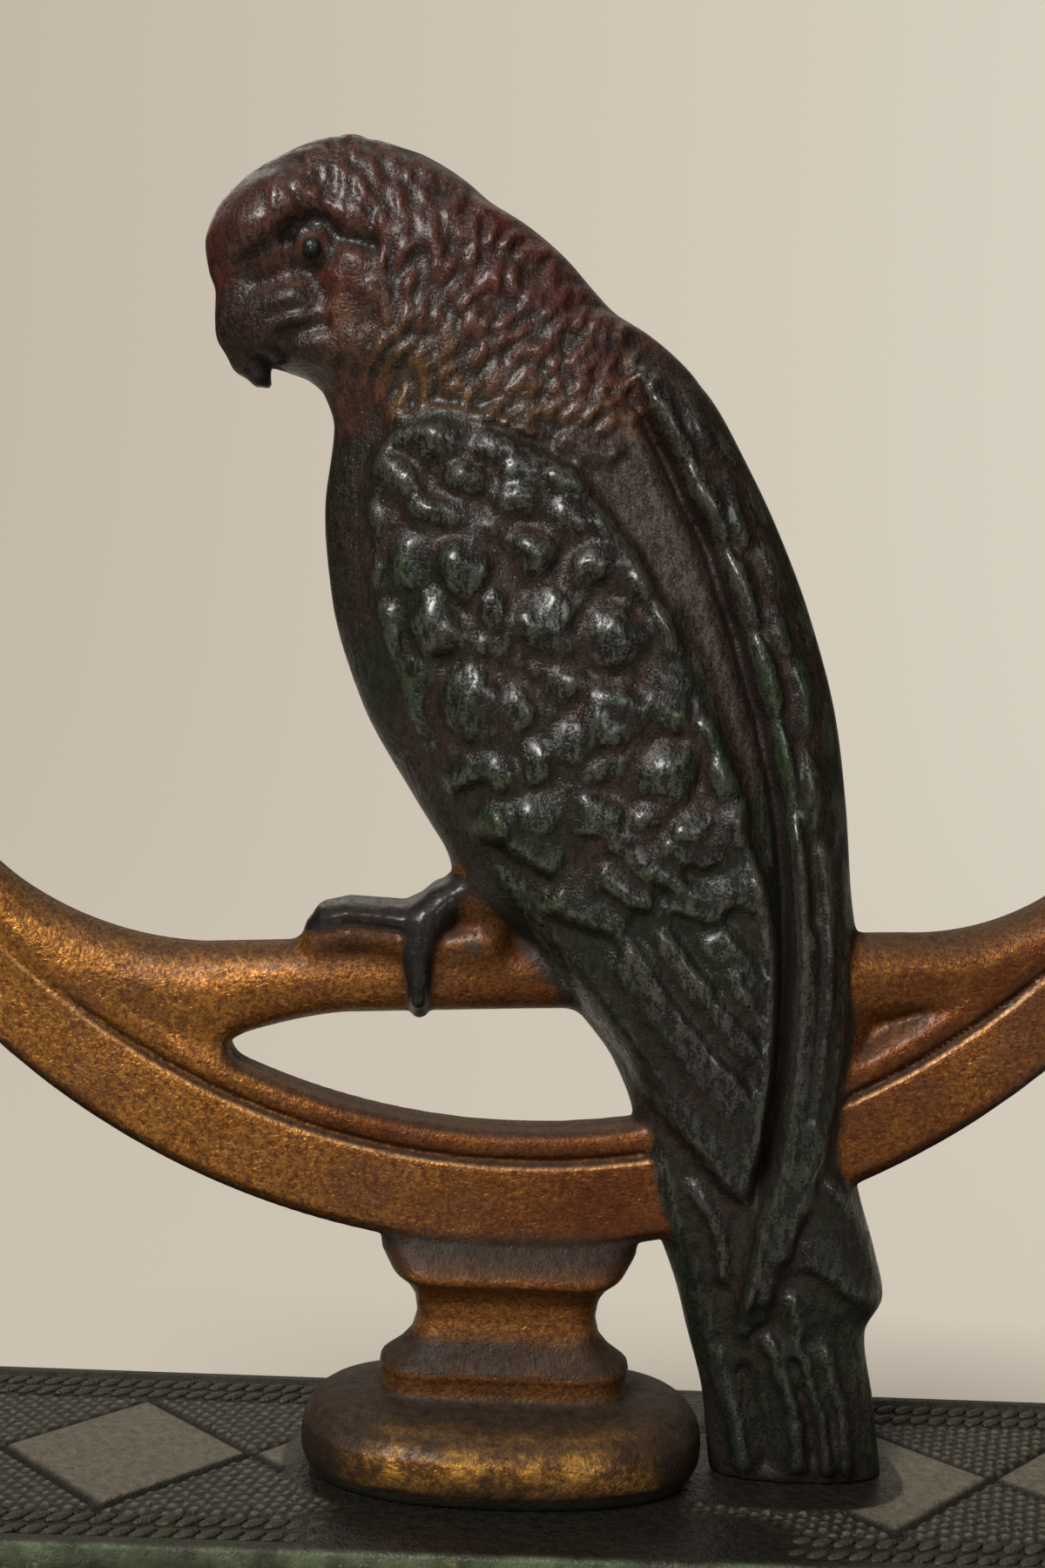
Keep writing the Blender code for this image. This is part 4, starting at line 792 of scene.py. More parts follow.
class Figure:
    """Fields, masks and grid of one half of the figure, shared by both half castings."""

    def __init__(self, fine, coarse):
        reach = RING_OUTER + GRID_MARGIN
        ring_top = RING_BOTTOM + 2.0 * RING_OUTER
        self.x = grid_planes(-reach, *FINE_ACROSS, reach, fine, coarse)
        self.z = grid_planes(GRID_BOTTOM, *FINE_UP, ring_top + GRID_MARGIN, fine, coarse)
        depth = np.arange(0.0, GREATEST_DEPTH / fine) * fine + 0.5 * fine
        self.f = np.concatenate([[-0.5 * fine], depth]) + SEAM_HALF_GAP
        self.planes = (self.x, self.f, self.z)
        x, z = np.meshgrid(self.x, self.z, indexing="ij")
        self.relief = carving(x, z)

        def limb(route):
            """A limb on this grid."""
            return limb_field(x, self.f, z, route)

        body = body_field(x, self.f, z, self.relief)
        body = soft_max(body, limb([(a, b, 0.0, r, r * BEAK_DEPTH_SHARE + 0.6) for a, b, r in BEAK]), 0.7)
        eye_depth = self.depth_at(body, EYE) - 0.4
        eye = [(EYE[0], EYE[1] + rise, eye_depth, EYE_RADIUS, EYE_RADIUS) for rise in (0.0, 0.01)]
        body = soft_max(body, limb(eye), 0.2)
        body = soft_max(body, limb(THIGH), 3.0)
        toes = soft_max(limb(LONG_TOE), limb(FRONT_TOE), 0.8)
        gilt = soft_max(gilt_field(x, self.f, z), limb(MOUND), 1.6)
        self.gilding = gilt - body
        self.toes = toes - np.maximum(body, gilt)
        whole = soft_max(soft_max(body, gilt, 1.1), toes, 0.6)
        groove = SEAM_GROOVE_DEPTH * np.exp(-(self.f - SEAM_HALF_GAP) / SEAM_GROOVE_REACH)
        whole = whole - groove[None, :, None]
        whole = np.minimum(whole, (z - FOOT_CLEARANCE)[:, None, :])
        whole[:, 0, :] = whole[:, 1, :]
        self.field = whole

    def depth_at(self, field, place):
        """Depth of a field's surface at a place seen from the front."""
        i = int(np.argmin(np.abs(self.x - place[0])))
        k = int(np.argmin(np.abs(self.z - place[1])))
        return float(self.f[np.argmax(field[i, :, k] < 0.0)])

    def bored(self, places, radius, seats):
        """The field with round recesses sunk to their seats from the outside."""
        x, z = np.meshgrid(self.x, self.z, indexing="ij")
        field = self.field
        for (across, up), seat in zip(places, seats):
            hole = radius - np.hypot(x - across, z - up)
            cut_out = soft_min(hole[:, None, :], self.f[None, :, None] - seat, 0.2)
            field = soft_min(field, -cut_out, 0.3)
        field[:, 0, :] = field[:, 1, :]
        return field

    def casting(self, name, field, front):
        """One half casting as a closed mesh, thinned where it is flat, with its paint masks."""
        points, quads = skin(field, self.planes)
        half = mesh_object(name, points * MM, quads)
        thin(half, MOST_TRIANGLES)
        close_seam(half)
        self.mask(half.data)
        side = -1.0 if front else 1.0
        half.data.transform(Matrix(((1, 0, 0, 0), (0, side, 0, 0), (0, 0, 1, BASE_TOP), (0, 0, 0, 1))))
        if front:
            half.data.flip_normals()
        return half

    def mask(self, mesh):
        """Paint masks as vertex attributes: which paint lies where, what is proud or sunk, and how deep in a
        hollow each place lies, for the painted shade there.
        """
        points = vertex_rows(mesh, "co").astype(float) / MM
        beyond = points + HIDDEN_REACH * vertex_rows(mesh, "normal").astype(float)
        across, _, up = points.T
        flat = np.stack([across, np.zeros_like(up), up], 1)
        gilding, toes = (sampled(field, self.planes, points) for field in (self.gilding, self.toes))
        # How far into a hollow a place lies: the paint darkens creases and hollows with it as painted shade,
        # partly standing for dark glaze left in them.
        hidden = 1.0 + sampled(self.field, self.planes, beyond) / HIDDEN_REACH
        masks = {**gilt_masks(across, up, gilding, toes), **bird_masks(across, up)}
        masks["hidden"] = np.clip(hidden, 0.0, 1.0)
        for name, rounds, height in (("raised", 24, 0.6), ("sharp", 5, 0.2)):
            above = (self.relief - softened(self.relief, rounds))[:, None, :].repeat(2, 1)
            proud = sampled(above, (self.x, np.array([0.0, 1.0]), self.z), flat)
            masks[name] = np.clip(proud / height, -1.0, 1.0)
        for name, values in masks.items():
            add_attribute(mesh, name, values)


def gilt_masks(across, up, gilding, toes):
    """Masks of the toes and the gilding, of what is worn or aged on it, and of its soot and painted shade."""
    edge = eased(THIGH_EDGE, up)
    on_leg = up > LEG_BOTTOM
    thigh = smooth((LEG_TOP + 0.8 - up) / 1.2) * smooth((edge - across) / 0.9 + 0.5) * on_leg
    body = smooth((across - edge) / 0.9 + 0.5) * on_leg * (up < LEG_TOP) * (across < LEG_RIGHT)
    toe = smooth((toes + 0.1) / 0.25)
    gold = np.maximum(smooth((gilding + 0.25) / 0.5) * (1.0 - body), thigh) * (1.0 - toe)
    worn = smooth((WORN_SPOT[2] * 1.4 - np.hypot(across - WORN_SPOT[0], (up - WORN_SPOT[1]) * 1.4)) / 0.9)
    inward = np.hypot(across, up - OPENING_CENTRE) - RING_OPENING
    on_bead = smooth((BEAD_WIDTH + 0.3 - inward) / 0.5) * (inward > -1.0)
    aged = eased(AGED, across) + 0.4 * smooth((across + 40.0) / 20.0) * on_bead
    aged_foot = 0.75 * smooth((up - 7.0) / 2.0) * smooth((26.0 - up) / 4.0)
    # The torus's ends are darkened as painted shade, where its round sides turn away from the light.
    torus_end_shade = 0.85 * smooth((np.abs(across) - 8.0) / 9.0) * (up < 7.8)
    return {
        "gilding": gold,
        "toes": toe,
        "worn": worn * gold,
        "aged": np.clip(np.maximum(aged * smooth((up - 16.0) / 8.0), aged_foot), 0.0, 1.0),
        "soot_and_shade": np.maximum(eased(SOOT_AND_SHADE, up) * (up < SOOT_AND_SHADE[-1][0]), torus_end_shade) * gold,
    }


def bird_masks(across, up):
    """Masks of the head, the olive throat, the back and its groove, the beak and the eye."""
    beside = past_groove(across, up)
    wing = within(across, up, NEAR_WING)
    groove_away = line_distance(across, up, BACK_GROOVE)[0]
    head = smooth((up - 101.0) / 4.0) * (1.0 - smooth((beside + 0.2) / 0.8) * (up < 111.5))
    head = np.maximum(head, smooth((up - 112.5) / 2.0)) * (1.0 - smooth((wing + 0.6) / 0.8))
    mantle = smooth(-wing / 0.8) * smooth((0.1 - beside) / 0.8) * smooth((up - 66.0) / 10.0)
    olive = smooth((117.5 - up - 0.35 * (across + 14.0)) / 9.0) * head * smooth((across + 25.5) / 6.0)
    eye_away = np.hypot(across - EYE[0], up - EYE[1])
    return {
        "head": head,
        "olive": olive,
        "mantle": np.clip(mantle - head, 0.0, 1.0) * (across > -2.0),
        "groove": np.exp(-((groove_away + 0.1) / 0.6) ** 2) * smooth((up - 90.0) / 14.0),
        "beak": smooth((117.4 - up) / 2.5) * smooth((-20.5 - across) / 3.0) * (up > 104.0),
        "eye": smooth((EYE_RADIUS + 0.15 - eye_away) / 0.3),
    }


def thin(piece, most):
    """Collapse edges where the surface is flat until the piece has no more triangles than asked."""
    triangles = 2 * len(piece.data.polygons)
    if triangles > most:
        modifier = piece.modifiers.new("thin", 'DECIMATE')
        modifier.ratio = most / triangles
        settle(piece, modifier)


def close_seam(half):
    """Fill the flat face where the two halves meet, and mark its edge sharp."""
    bm = bmesh.new()
    bm.from_mesh(half.data)
    rim = [edge for edge in bm.edges if len(edge.link_faces) == 1]
    for edge in rim:
        for vert in edge.verts:
            vert.co.y = SEAM_HALF_GAP * MM
    bmesh.ops.triangle_fill(bm, use_beauty=True, use_dissolve=False, edges=rim, normal=(0.0, -1.0, 0.0))
    for face in bm.faces:
        face.smooth = True
    for edge in rim:
        edge.smooth = False
    bmesh.ops.recalc_face_normals(bm, faces=bm.faces)
    bm.to_mesh(half.data)
    bm.free()


def loft(loops):
    """Skin a row of closed loops that hold the same number of points, closed at both ends."""
    bm = bmesh.new()
    rings = [[bm.verts.new(point) for point in loop] for loop in loops]
    for lower, upper in zip(rings, rings[1:]):
        for i in range(len(lower)):
            j = (i + 1) % len(lower)
            bm.faces.new((lower[i], lower[j], upper[j], upper[i]))
    bm.faces.new(rings[0][::-1])
    bm.faces.new(rings[-1])
    return bm


def rounded_rectangle(half_length, half_depth, radius, height):
    """A loop of points with round corners and evenly divided sides."""
    loop = []
    for corner in range(4):
        sign_x = 1.0 if corner in (0, 3) else -1.0
        sign_y = 1.0 if corner in (0, 1) else -1.0
        for i in range(POINTS_PER_CORNER):
            angle = math.radians(90.0 * (corner + i / (POINTS_PER_CORNER - 1)))
            loop.append(Vector((sign_x * (half_length - radius) + radius * math.cos(angle),
                                sign_y * (half_depth - radius) + radius * math.sin(angle), height)))
    spread = []
    for start, end in zip(loop, loop[1:] + loop[:1]):
        length = (end - start).length
        count = max(1, round(length / SIDE_SPACING)) if length > 2.0 * SIDE_SPACING else 1
        spread += [start.lerp(end, i / count) for i in range(count)]
    return spread


def object_from(name, bm):
    """A new object that holds a bmesh with its faces turned outwards."""
    bmesh.ops.recalc_face_normals(bm, faces=bm.faces)
    mesh = bpy.data.meshes.new(name)
    bm.to_mesh(mesh)
    bm.free()
    return placed(name, mesh)


def cut(target, tool):
    """Cut one piece out of another with an exact Boolean, and remove the tool."""
    modifier = target.modifiers.new("cut", 'BOOLEAN')
    modifier.operation = 'DIFFERENCE'
    modifier.solver = 'EXACT'
    modifier.object = tool
    settle(target, modifier)
    bpy.data.objects.remove(tool, do_unlink=True)


def upright_cylinder(radius, x, y, top):
    """A closed cylinder from the floor up to a height."""
    turns = [math.tau * i / CYLINDER_SIDES for i in range(CYLINDER_SIDES)]
    return object_from("tool", loft([
        [(x + radius * math.cos(turn), y + radius * math.sin(turn), height) for turn in turns]
        for height in (0.0, top)]))


def middle_of(node):
    """Middle of a node's box, in metres: across, deep and up."""
    return [0.5 * (low + high) for low, high in zip(*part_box(node))]


def base_pattern(x, y):
    """Height of the base's top in millimetres, and masks of its plain ground, squares, weave knobs (for a
    painted highlight) and lines (for painted shade).
    """
    u = (x + y) / SQUARE_DIAGONAL
    v = (x - y) / SQUARE_DIAGONAL
    line = np.minimum(np.abs(u - np.round(u)), np.abs(v - np.round(v))) * SQUARE_DIAGONAL / math.sqrt(2.0)
    woven = (np.floor(u) + np.floor(v)) % 2 != 0
    p = (x + y) / math.sqrt(2.0) / WEAVE_PITCH
    q = (x - y) / math.sqrt(2.0) / WEAVE_PITCH
    strand = np.abs(np.sin(math.pi * p)) ** 1.3 * np.abs(np.sin(math.pi * (q + 0.5 * np.floor(p)))) ** 1.3
    height = np.where(woven, 0.32 * strand - 0.34, -0.05)
    height = height - 0.45 * np.exp(-(line / 0.38) ** 2)
    inset = np.minimum(BASE_HALF_DEPTH - np.abs(y), BASE_HALF_LENGTH - np.abs(x))
    outside = smooth((BORDER_WIDTH + RIM_INSET - inset) / 0.4)
    height = height * (1.0 - outside) - 0.45 * outside * smooth((inset - RIM_INSET) / 0.4)
    height = height - 0.3 * np.exp(-((inset - BORDER_WIDTH - RIM_INSET) / 0.35) ** 2)
    foot = np.abs(x / 22.0) ** 2.4 + np.abs(y / 14.0) ** 2.4
    tail = np.abs((x - 28.0) / 13.0) ** 2.6 + np.abs(y / 9.0) ** 2.6
    front_patch = 0.8 * (np.abs((x - 5.0) / 24.0) ** 3 + np.abs((np.abs(y) - 16.0) / 7.0) ** 3)
    plain = np.maximum(smooth((1.05 - foot) / 0.1), smooth((1.05 - tail) / 0.1))
    plain = np.maximum(plain, smooth((1.1 - front_patch) / 0.7))
    square, knob_highlight, sunk = (mask * (1.0 - outside) * (1.0 - plain) for mask in (
        np.where(woven, 0.0, smooth((line - 0.35) / 0.3)),
        # Mask of the weave's knob tops, for a painted highlight.
        np.where(woven, smooth((strand - 0.45) / 0.3), 0.0),
        # Mask of the lattice's lines, for painted shade.
        np.exp(-(line / 0.4) ** 2)))
    return height * (1.0 - plain) - 0.02, plain, square, knob_highlight, sunk


def base_casting(step):
    """Tray-like base: a plain shell cut from beneath, closed by the patterned sheet on top."""
    half_length, half_depth = BASE_HIGH.x, BASE_HIGH.y
    edge = 0.6 * MM
    corner = 3.0 * MM
    outer = [rounded_rectangle(half_length, half_depth, corner, height)
             for height in (BASE_LOW.z, BASE_LOW.z + 4.0 * MM, BASE_TOP - 3.0 * MM)]
    for i in range(6):
        swing = math.radians(18.0 * i)
        inset = edge * (1.0 - math.cos(swing))
        outer.append(rounded_rectangle(half_length - inset, half_depth - inset, corner - inset,
                                       BASE_TOP - edge * (1.0 - math.sin(swing))))
    shell = object_from("base_casting", loft(outer))
    wall = 3.4 * MM
    plate = 3.2 * MM
    hollow = object_from("tool", loft([
        rounded_rectangle(half_length - wall + grow, half_depth - wall + grow, 1.4 * MM, height)
        for height, grow in ((BASE_LOW.z - 1.0 * MM, 0.4 * MM), (BASE_TOP - plate, 0.0))]))
    for node in BUMPERS:
        cut(hollow, upright_cylinder(6.6 * MM, *middle_of(node)[:2], BASE_TOP + MM))
    cut(shell, hollow)
    for node in BUMPERS:
        cut(shell, upright_cylinder(2.8 * MM, *middle_of(node)[:2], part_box(node)[1].z + 0.3 * MM))
    for node, radius in (("pedestal_screw", 2.7 * MM), ("tail_screw", 1.6 * MM)):
        cut(shell, upright_cylinder(radius, middle_of(node)[0], 0.0, BASE_TOP - 1.0 * MM))
    return dress_top(shell, step)


def dress_top(shell, step):
    """Replace the shell's flat top with the patterned sheet, joined by a plain rim."""
    x, y = np.meshgrid(*(np.linspace(-half, half, int(2 * half / step) + 1) for half in (
        BASE_HALF_LENGTH - SHEET_INSET, BASE_HALF_DEPTH - SHEET_INSET)), indexing="ij")
    height = base_pattern(x, y)[0]
    rows, columns = x.shape
    points = np.stack([x, y, height], 2).reshape(-1, 3) * MM
    points[:, 2] += BASE_TOP
    border = np.ones(x.shape, bool)
    border[1:-1, 1:-1] = False
    points[border.ravel(), 2] = BASE_TOP
    bm = bmesh.new()
    bm.from_mesh(shell.data)
    lid = [face for face in bm.faces
           if face.normal.z > 0.99 and face.calc_center_median().z > BASE_TOP - 0.1 * MM]
    bmesh.ops.delete(bm, geom=lid, context='FACES_ONLY')
    bmesh.ops.remove_doubles(bm, verts=bm.verts, dist=0.001 * MM)
    outer_rim = [edge for edge in bm.edges if len(edge.link_faces) == 1]
    verts = [bm.verts.new(point) for point in points]
    for i in range(rows - 1):
        for j in range(columns - 1):
            a = i * columns + j
            bm.faces.new((verts[a], verts[a + columns], verts[a + columns + 1], verts[a + 1]))
    known = set(outer_rim)
    sheet_rim = [edge for edge in bm.edges if len(edge.link_faces) == 1 and edge not in known]
    bmesh.ops.triangle_fill(bm, use_beauty=True, use_dissolve=False, edges=outer_rim + sheet_rim,
                            normal=(0.0, 0.0, 1.0))
    bmesh.ops.recalc_face_normals(bm, faces=bm.faces)
    for face in bm.faces:
        face.smooth = True
    bm.to_mesh(shell.data)
    bm.free()
    shell.data.set_sharp_from_angle(angle=math.radians(50.0))
    places = vertex_rows(shell.data, "co")
    on_top = places[:, 2] > BASE_TOP - 0.8 * MM
    _, plain, square, knob_highlight, sunk = base_pattern(places[:, 0] / MM, places[:, 1] / MM)
    for name, values in (("plain", plain), ("square", square), ("raised", knob_highlight), ("sunk", sunk)):
        add_attribute(shell.data, name, np.where(on_top, values, 0.0))
    inset = np.minimum(BASE_HIGH.y - np.abs(places[:, 1]), BASE_HIGH.x - np.abs(places[:, 0])) / MM
    # rim: a strip along the top edges that the paint lightens, partly wear and partly a painted highlight.
    add_attribute(shell.data, "rim", smooth((0.8 - inset) / 0.8) * (places[:, 2] > BASE_TOP - 1.4 * MM))
    return shell


class DoorstopSizes(bpy.types.PropertyGroup):
    """Sizes of the carved surface."""

    fine_cell: bpy.props.FloatProperty(
        name="Fine cell", description="Grid cell on the parrot", default=0.00037, unit='LENGTH')
    coarse_cell: bpy.props.FloatProperty(
        name="Coarse cell", description="Grid cell on the ring's upper part", default=0.00055, unit='LENGTH')
    base_cell: bpy.props.FloatProperty(
        name="Base cell", description="Grid cell of the base's patterned top", default=0.00036, unit='LENGTH')
    screw_recess: bpy.props.FloatProperty(
        name="Screw recess", description="Radius of the recess round a figure screw's head",
        default=0.0031, unit='LENGTH')


class DoorstopPaint(bpy.types.PropertyGroup):
    """Colours of the painted finish."""

    gold: bpy.props.FloatVectorProperty(
        name="Gold", description="Bronze gold of the ring, perch and pedestal",
        default=(0.50, 0.225, 0.046, 1.0), **COLOUR)
    gold_shade: bpy.props.FloatVectorProperty(
        name="Gold shade", description="Brown that shows through the gold",
        default=(0.060, 0.019, 0.007, 1.0), **COLOUR)
    crown: bpy.props.FloatVectorProperty(
        name="Crown", description="Maroon of the head and nape", default=(0.056, 0.021, 0.014, 1.0), **COLOUR)
    plume: bpy.props.FloatVectorProperty(
        name="Plume", description="Black-green of the wings and tail",
        default=(0.0045, 0.0060, 0.0048, 1.0), **COLOUR)
    down: bpy.props.FloatVectorProperty(
        name="Down", description="Brown between the feathers", default=(0.032, 0.020, 0.015, 1.0), **COLOUR)
    neck: bpy.props.FloatVectorProperty(
        name="Neck", description="Olive gold of the throat and lower neck",
        default=(0.070, 0.036, 0.013, 1.0), **COLOUR)
    base: bpy.props.FloatVectorProperty(
        name="Base", description="Olive grey of the base's smooth squares",
        default=(0.125, 0.108, 0.076, 1.0), **COLOUR)


def feed(tree, socket, value):
    """Give a node's input a socket to follow, or a number or colour to hold."""
    if isinstance(value, bpy.types.NodeSocket):
        tree.links.new(value, socket)
    elif isinstance(value, tuple) and len(value) < len(socket.default_value):
        socket.default_value = (*value, 1.0)
    else:
        socket.default_value = value


class Nodes:
    """A shader node tree with short ways to add nodes to it. Colours are three numbers."""

    def __init__(self, tree):
        self.tree = tree
        self.place = self.put("TexCoord").outputs["Object"]

    def put(self, kind, **settings):
        """Add a node, setting its properties by name."""
        made = self.tree.nodes.new("ShaderNode" + kind)
        for name, value in settings.items():
            setattr(made, name, value)
        return made

    def fill(self, made, values):
        """Give a node's inputs their sockets or numbers, by name or index."""
        for key, value in values.items():
            feed(self.tree, made.inputs[key], value)
        return made.outputs

    def blend(self, share, low, high):
        """Mix two colours by a share."""
        return self.fill(self.put("Mix", data_type='RGBA'), {0: share, 6: low, 7: high})[2]

    def choose(self, share, low, high):
        """Mix two numbers by a share."""
        return self.fill(self.put("Mix", data_type='FLOAT'), {0: share, 2: low, 3: high})[0]

    def coats(self, colour, *layers):
        """Lay coats over a colour, each with its mask."""
        for mask, coat in layers:
            colour = self.blend(mask, colour, coat)
        return colour

    def reckon(self, operation, *values, clamp=False):
        """Math node on sockets or numbers."""
        made = self.put("Math", operation=operation, use_clamp=clamp)
        return self.fill(made, dict(enumerate(values)))[0]

    def times(self, first, second, clamp=False):
        """Product of two values."""
        return self.reckon('MULTIPLY', first, second, clamp=clamp)

    def scaled(self, value, factor, more):
        """A value times a factor, plus more."""
        return self.reckon('MULTIPLY_ADD', value, factor, more)

    def most(self, first, second):
        """Larger of two values."""
        return self.reckon('MAXIMUM', first, second)

    def span(self, value, low, high, to_low=0.0, to_high=1.0):
        """Map a range of values to another, held at its ends."""
        values = {"Value": value, "From Min": low, "From Max": high, "To Min": to_low, "To Max": to_high}
        return self.fill(self.put("MapRange", clamp=True), values)["Result"]

    def cloud(self, scale, detail=3.0, roughness=0.55, place=None):
        """Noise value at a place."""
        values = {"Vector": place or self.place, "Scale": scale, "Detail": detail, "Roughness": roughness}
        return self.fill(self.put("TexNoise"), values)["Fac"]

    def split(self, vector):
        """Parts of a vector, by axis."""
        return self.fill(self.put("SeparateXYZ"), {0: vector})

    def read(self, name):
        """A vertex attribute's value."""
        return self.put("Attribute", attribute_name=name).outputs["Fac"]

    def shared(self, group, **values):
        """Place a shared group with its own values."""
        return self.fill(self.put("Group", node_tree=group), values)

    def bump(self, height, distance):
        """Normal from a height."""
        return self.fill(self.put("Bump"), {"Height": height, "Distance": distance})["Normal"]

    def circle_line(self, height, radius, width):
        """Mask of a thin line round the ring, at a radius from a point on its axis."""
        flat = self.put("VectorMath", operation='MULTIPLY_ADD')
        offset = self.fill(flat, {0: self.place, 1: (1.0, 0.0, 1.0), 2: (0.0, 0.0, -height)})[0]
        reach = self.fill(self.put("VectorMath", operation='LENGTH'), {0: offset})["Value"]
        away = self.reckon('ABSOLUTE', self.reckon('SUBTRACT', reach, radius))
        return self.span(away, 0.4 * width, width, 1.0, 0.0)


def painted(name):
    """A new material, its nodes and its shader's inputs."""
    material = bpy.data.materials.new(name)
    material.use_nodes = True
    nodes = Nodes(material.node_tree)
    return material, nodes, material.node_tree.nodes["Principled BSDF"]


def group_of(name, inputs, outputs):
    """A new shader node group with float inputs and float outputs."""
    group = bpy.data.node_groups.new(name, "ShaderNodeTree")
    for label, value in inputs.items():
        socket = group.interface.new_socket(label, in_out='INPUT', socket_type='NodeSocketFloat')
        socket.default_value = value
    for label in outputs:
        group.interface.new_socket(label, in_out='OUTPUT', socket_type='NodeSocketFloat')
    return Nodes(group), group.nodes.new("NodeGroupInput").outputs, group.nodes.new("NodeGroupOutput")


def cast_grain():
    """Sand-cast surface under paint: fine orange peel, pits and broad unevenness, as a height."""
    name = "cast grain"
    if name in bpy.data.node_groups:
        return bpy.data.node_groups[name]
    inputs = {"Fine": 0.5, "Middle": 0.8, "Pits": 0.2, "Broad": 4.0, "Streaks": 0.0}
    nodes, entry, leave = group_of(name, inputs, ["Height", "Speckle", "Cracks"])
    fine = nodes.cloud(3400.0, 2.0, 0.6)
    middle = nodes.cloud(1100.0, 3.0, 0.6)
    turn = {"Rotation": (0.0, math.radians(12.0), 0.0), "Scale": (1.0, 1.0, 0.32), "Vector": nodes.place}
    drawn = nodes.fill(nodes.put("Mapping"), turn)[0]
    wrinkled = nodes.cloud(1500.0, 3.0, 0.6, drawn)
    height = nodes.times(fine, entry["Fine"])
    for part, amount in (
            (middle, "Middle"),
            (nodes.span(nodes.cloud(1300.0, 2.0, 0.6), 0.30, 0.42), "Pits"),
            (nodes.cloud(190.0, 2.0, 0.5), "Broad"),
            (wrinkled, "Streaks")):
        height = nodes.scaled(part, entry[amount], height)
    broken = nodes.scaled(wrinkled, 0.55, nodes.times(fine, 0.45))
    speckle = nodes.scaled(middle, 0.6, nodes.times(fine, 0.4))
    nodes.fill(leave, {
        "Height": height,
        "Cracks": nodes.span(broken, 0.45, 0.54),
        "Speckle": nodes.span(speckle, 0.36, 0.64),
    })
    return nodes.tree


def dust_and_light_veil():
    """Grey-brown dulling on faces that look up, as a mask: partly dust, partly painted light that darkens the
    gilding's tops and greys the darkest feathers like a sheen.
    """
    nodes, entry, leave = group_of("dust veil", {"From": 0.55, "To": 0.95}, ["Mask"])
    facing = nodes.split(nodes.put("NewGeometry").outputs["Normal"])
    broken = nodes.scaled(nodes.cloud(420.0, 4.0, 0.6), 0.3, facing["Z"])
    above = nodes.reckon('SUBTRACT', broken, entry["From"])
    reach = nodes.reckon('SUBTRACT', entry["To"], entry["From"])
    nodes.fill(leave, {"Mask": nodes.reckon('DIVIDE', above, reach, clamp=True)})
    return nodes.tree


def gilt_colour(nodes, paint, speckle):
    """Bronze gold in fine flakes over brown, redder and darker where it has aged, with a bright line along
    the band's inner edge, partly rubbed gold and partly a painted highlight, and a dark line of painted shade
    round the outer rim.
    """
    mica = nodes.span(nodes.cloud(2100.0, 5.0, 0.78), 0.40, 0.64)
    broad = nodes.span(nodes.cloud(90.0, 5.0, 0.65), 0.38, 0.62)
    aged = nodes.read("aged")
    fresh = nodes.reckon('SUBTRACT', 1.0, nodes.times(aged, nodes.span(broad, 0.0, 1.0, 1.0, 0.65)))
    share = nodes.times(nodes.scaled(mica, 0.85, 0.1), nodes.scaled(fresh, 0.9, 0.1))
    share = nodes.times(share, nodes.span(speckle, 0.0, 0.6, 0.55, 1.0))
    gold = nodes.blend(share, nodes.blend(aged, paint.gold_shade, (0.060, 0.015, 0.006)), paint.gold)
    opening = BASE_TOP + OPENING_CENTRE * MM
    # A bright gold line along the band's inner edge, on the front only: partly gold rubbed bare, partly a
    # painted highlight.
    rubbed_and_lit_line = nodes.circle_line(opening, (RING_OPENING + BEAD_WIDTH + 0.50) * MM, 0.24 * MM)
    rubbed_and_lit_line = nodes.times(rubbed_and_lit_line, nodes.span(nodes.cloud(1500.0), 0.35, 0.6, 0.1, 0.75))
    ahead = nodes.span(nodes.reckon('ABSOLUTE', nodes.split(nodes.place)["Y"]), 2.5 * MM, 3.0 * MM)
    # A dark line round the ring's outer rim, which faces down, is painted shade; it runs on across the
    # pedestal's top.
    rim = nodes.circle_line(BASE_TOP + RING_CENTRE * MM, (RING_OUTER - 0.10) * MM, 0.85 * MM)
    mauve = nodes.span(nodes.cloud(42.0, 5.0, 0.7), 0.52, 0.66, 0.0, 0.6)
    stains = nodes.span(nodes.cloud(330.0, 3.0, 0.7), 0.66, 0.74, 0.0, 0.6)
    gold = nodes.coats(
        gold,
        (mauve, (0.072, 0.034, 0.026)),
        (stains, (0.026, 0.013, 0.009)),
        (nodes.times(rubbed_and_lit_line, ahead), (0.50, 0.26, 0.10)),
        (nodes.times(rim, 0.9), (0.016, 0.007, 0.004)))
    return gold, share


def climb(nodes, low, high, to_low=0.0, to_high=1.0):
    """Map of the height above the base, from one level in millimetres to another."""
    up = nodes.split(nodes.place)["Z"]
    return nodes.span(up, BASE_TOP + low * MM, BASE_TOP + high * MM, to_low, to_high)


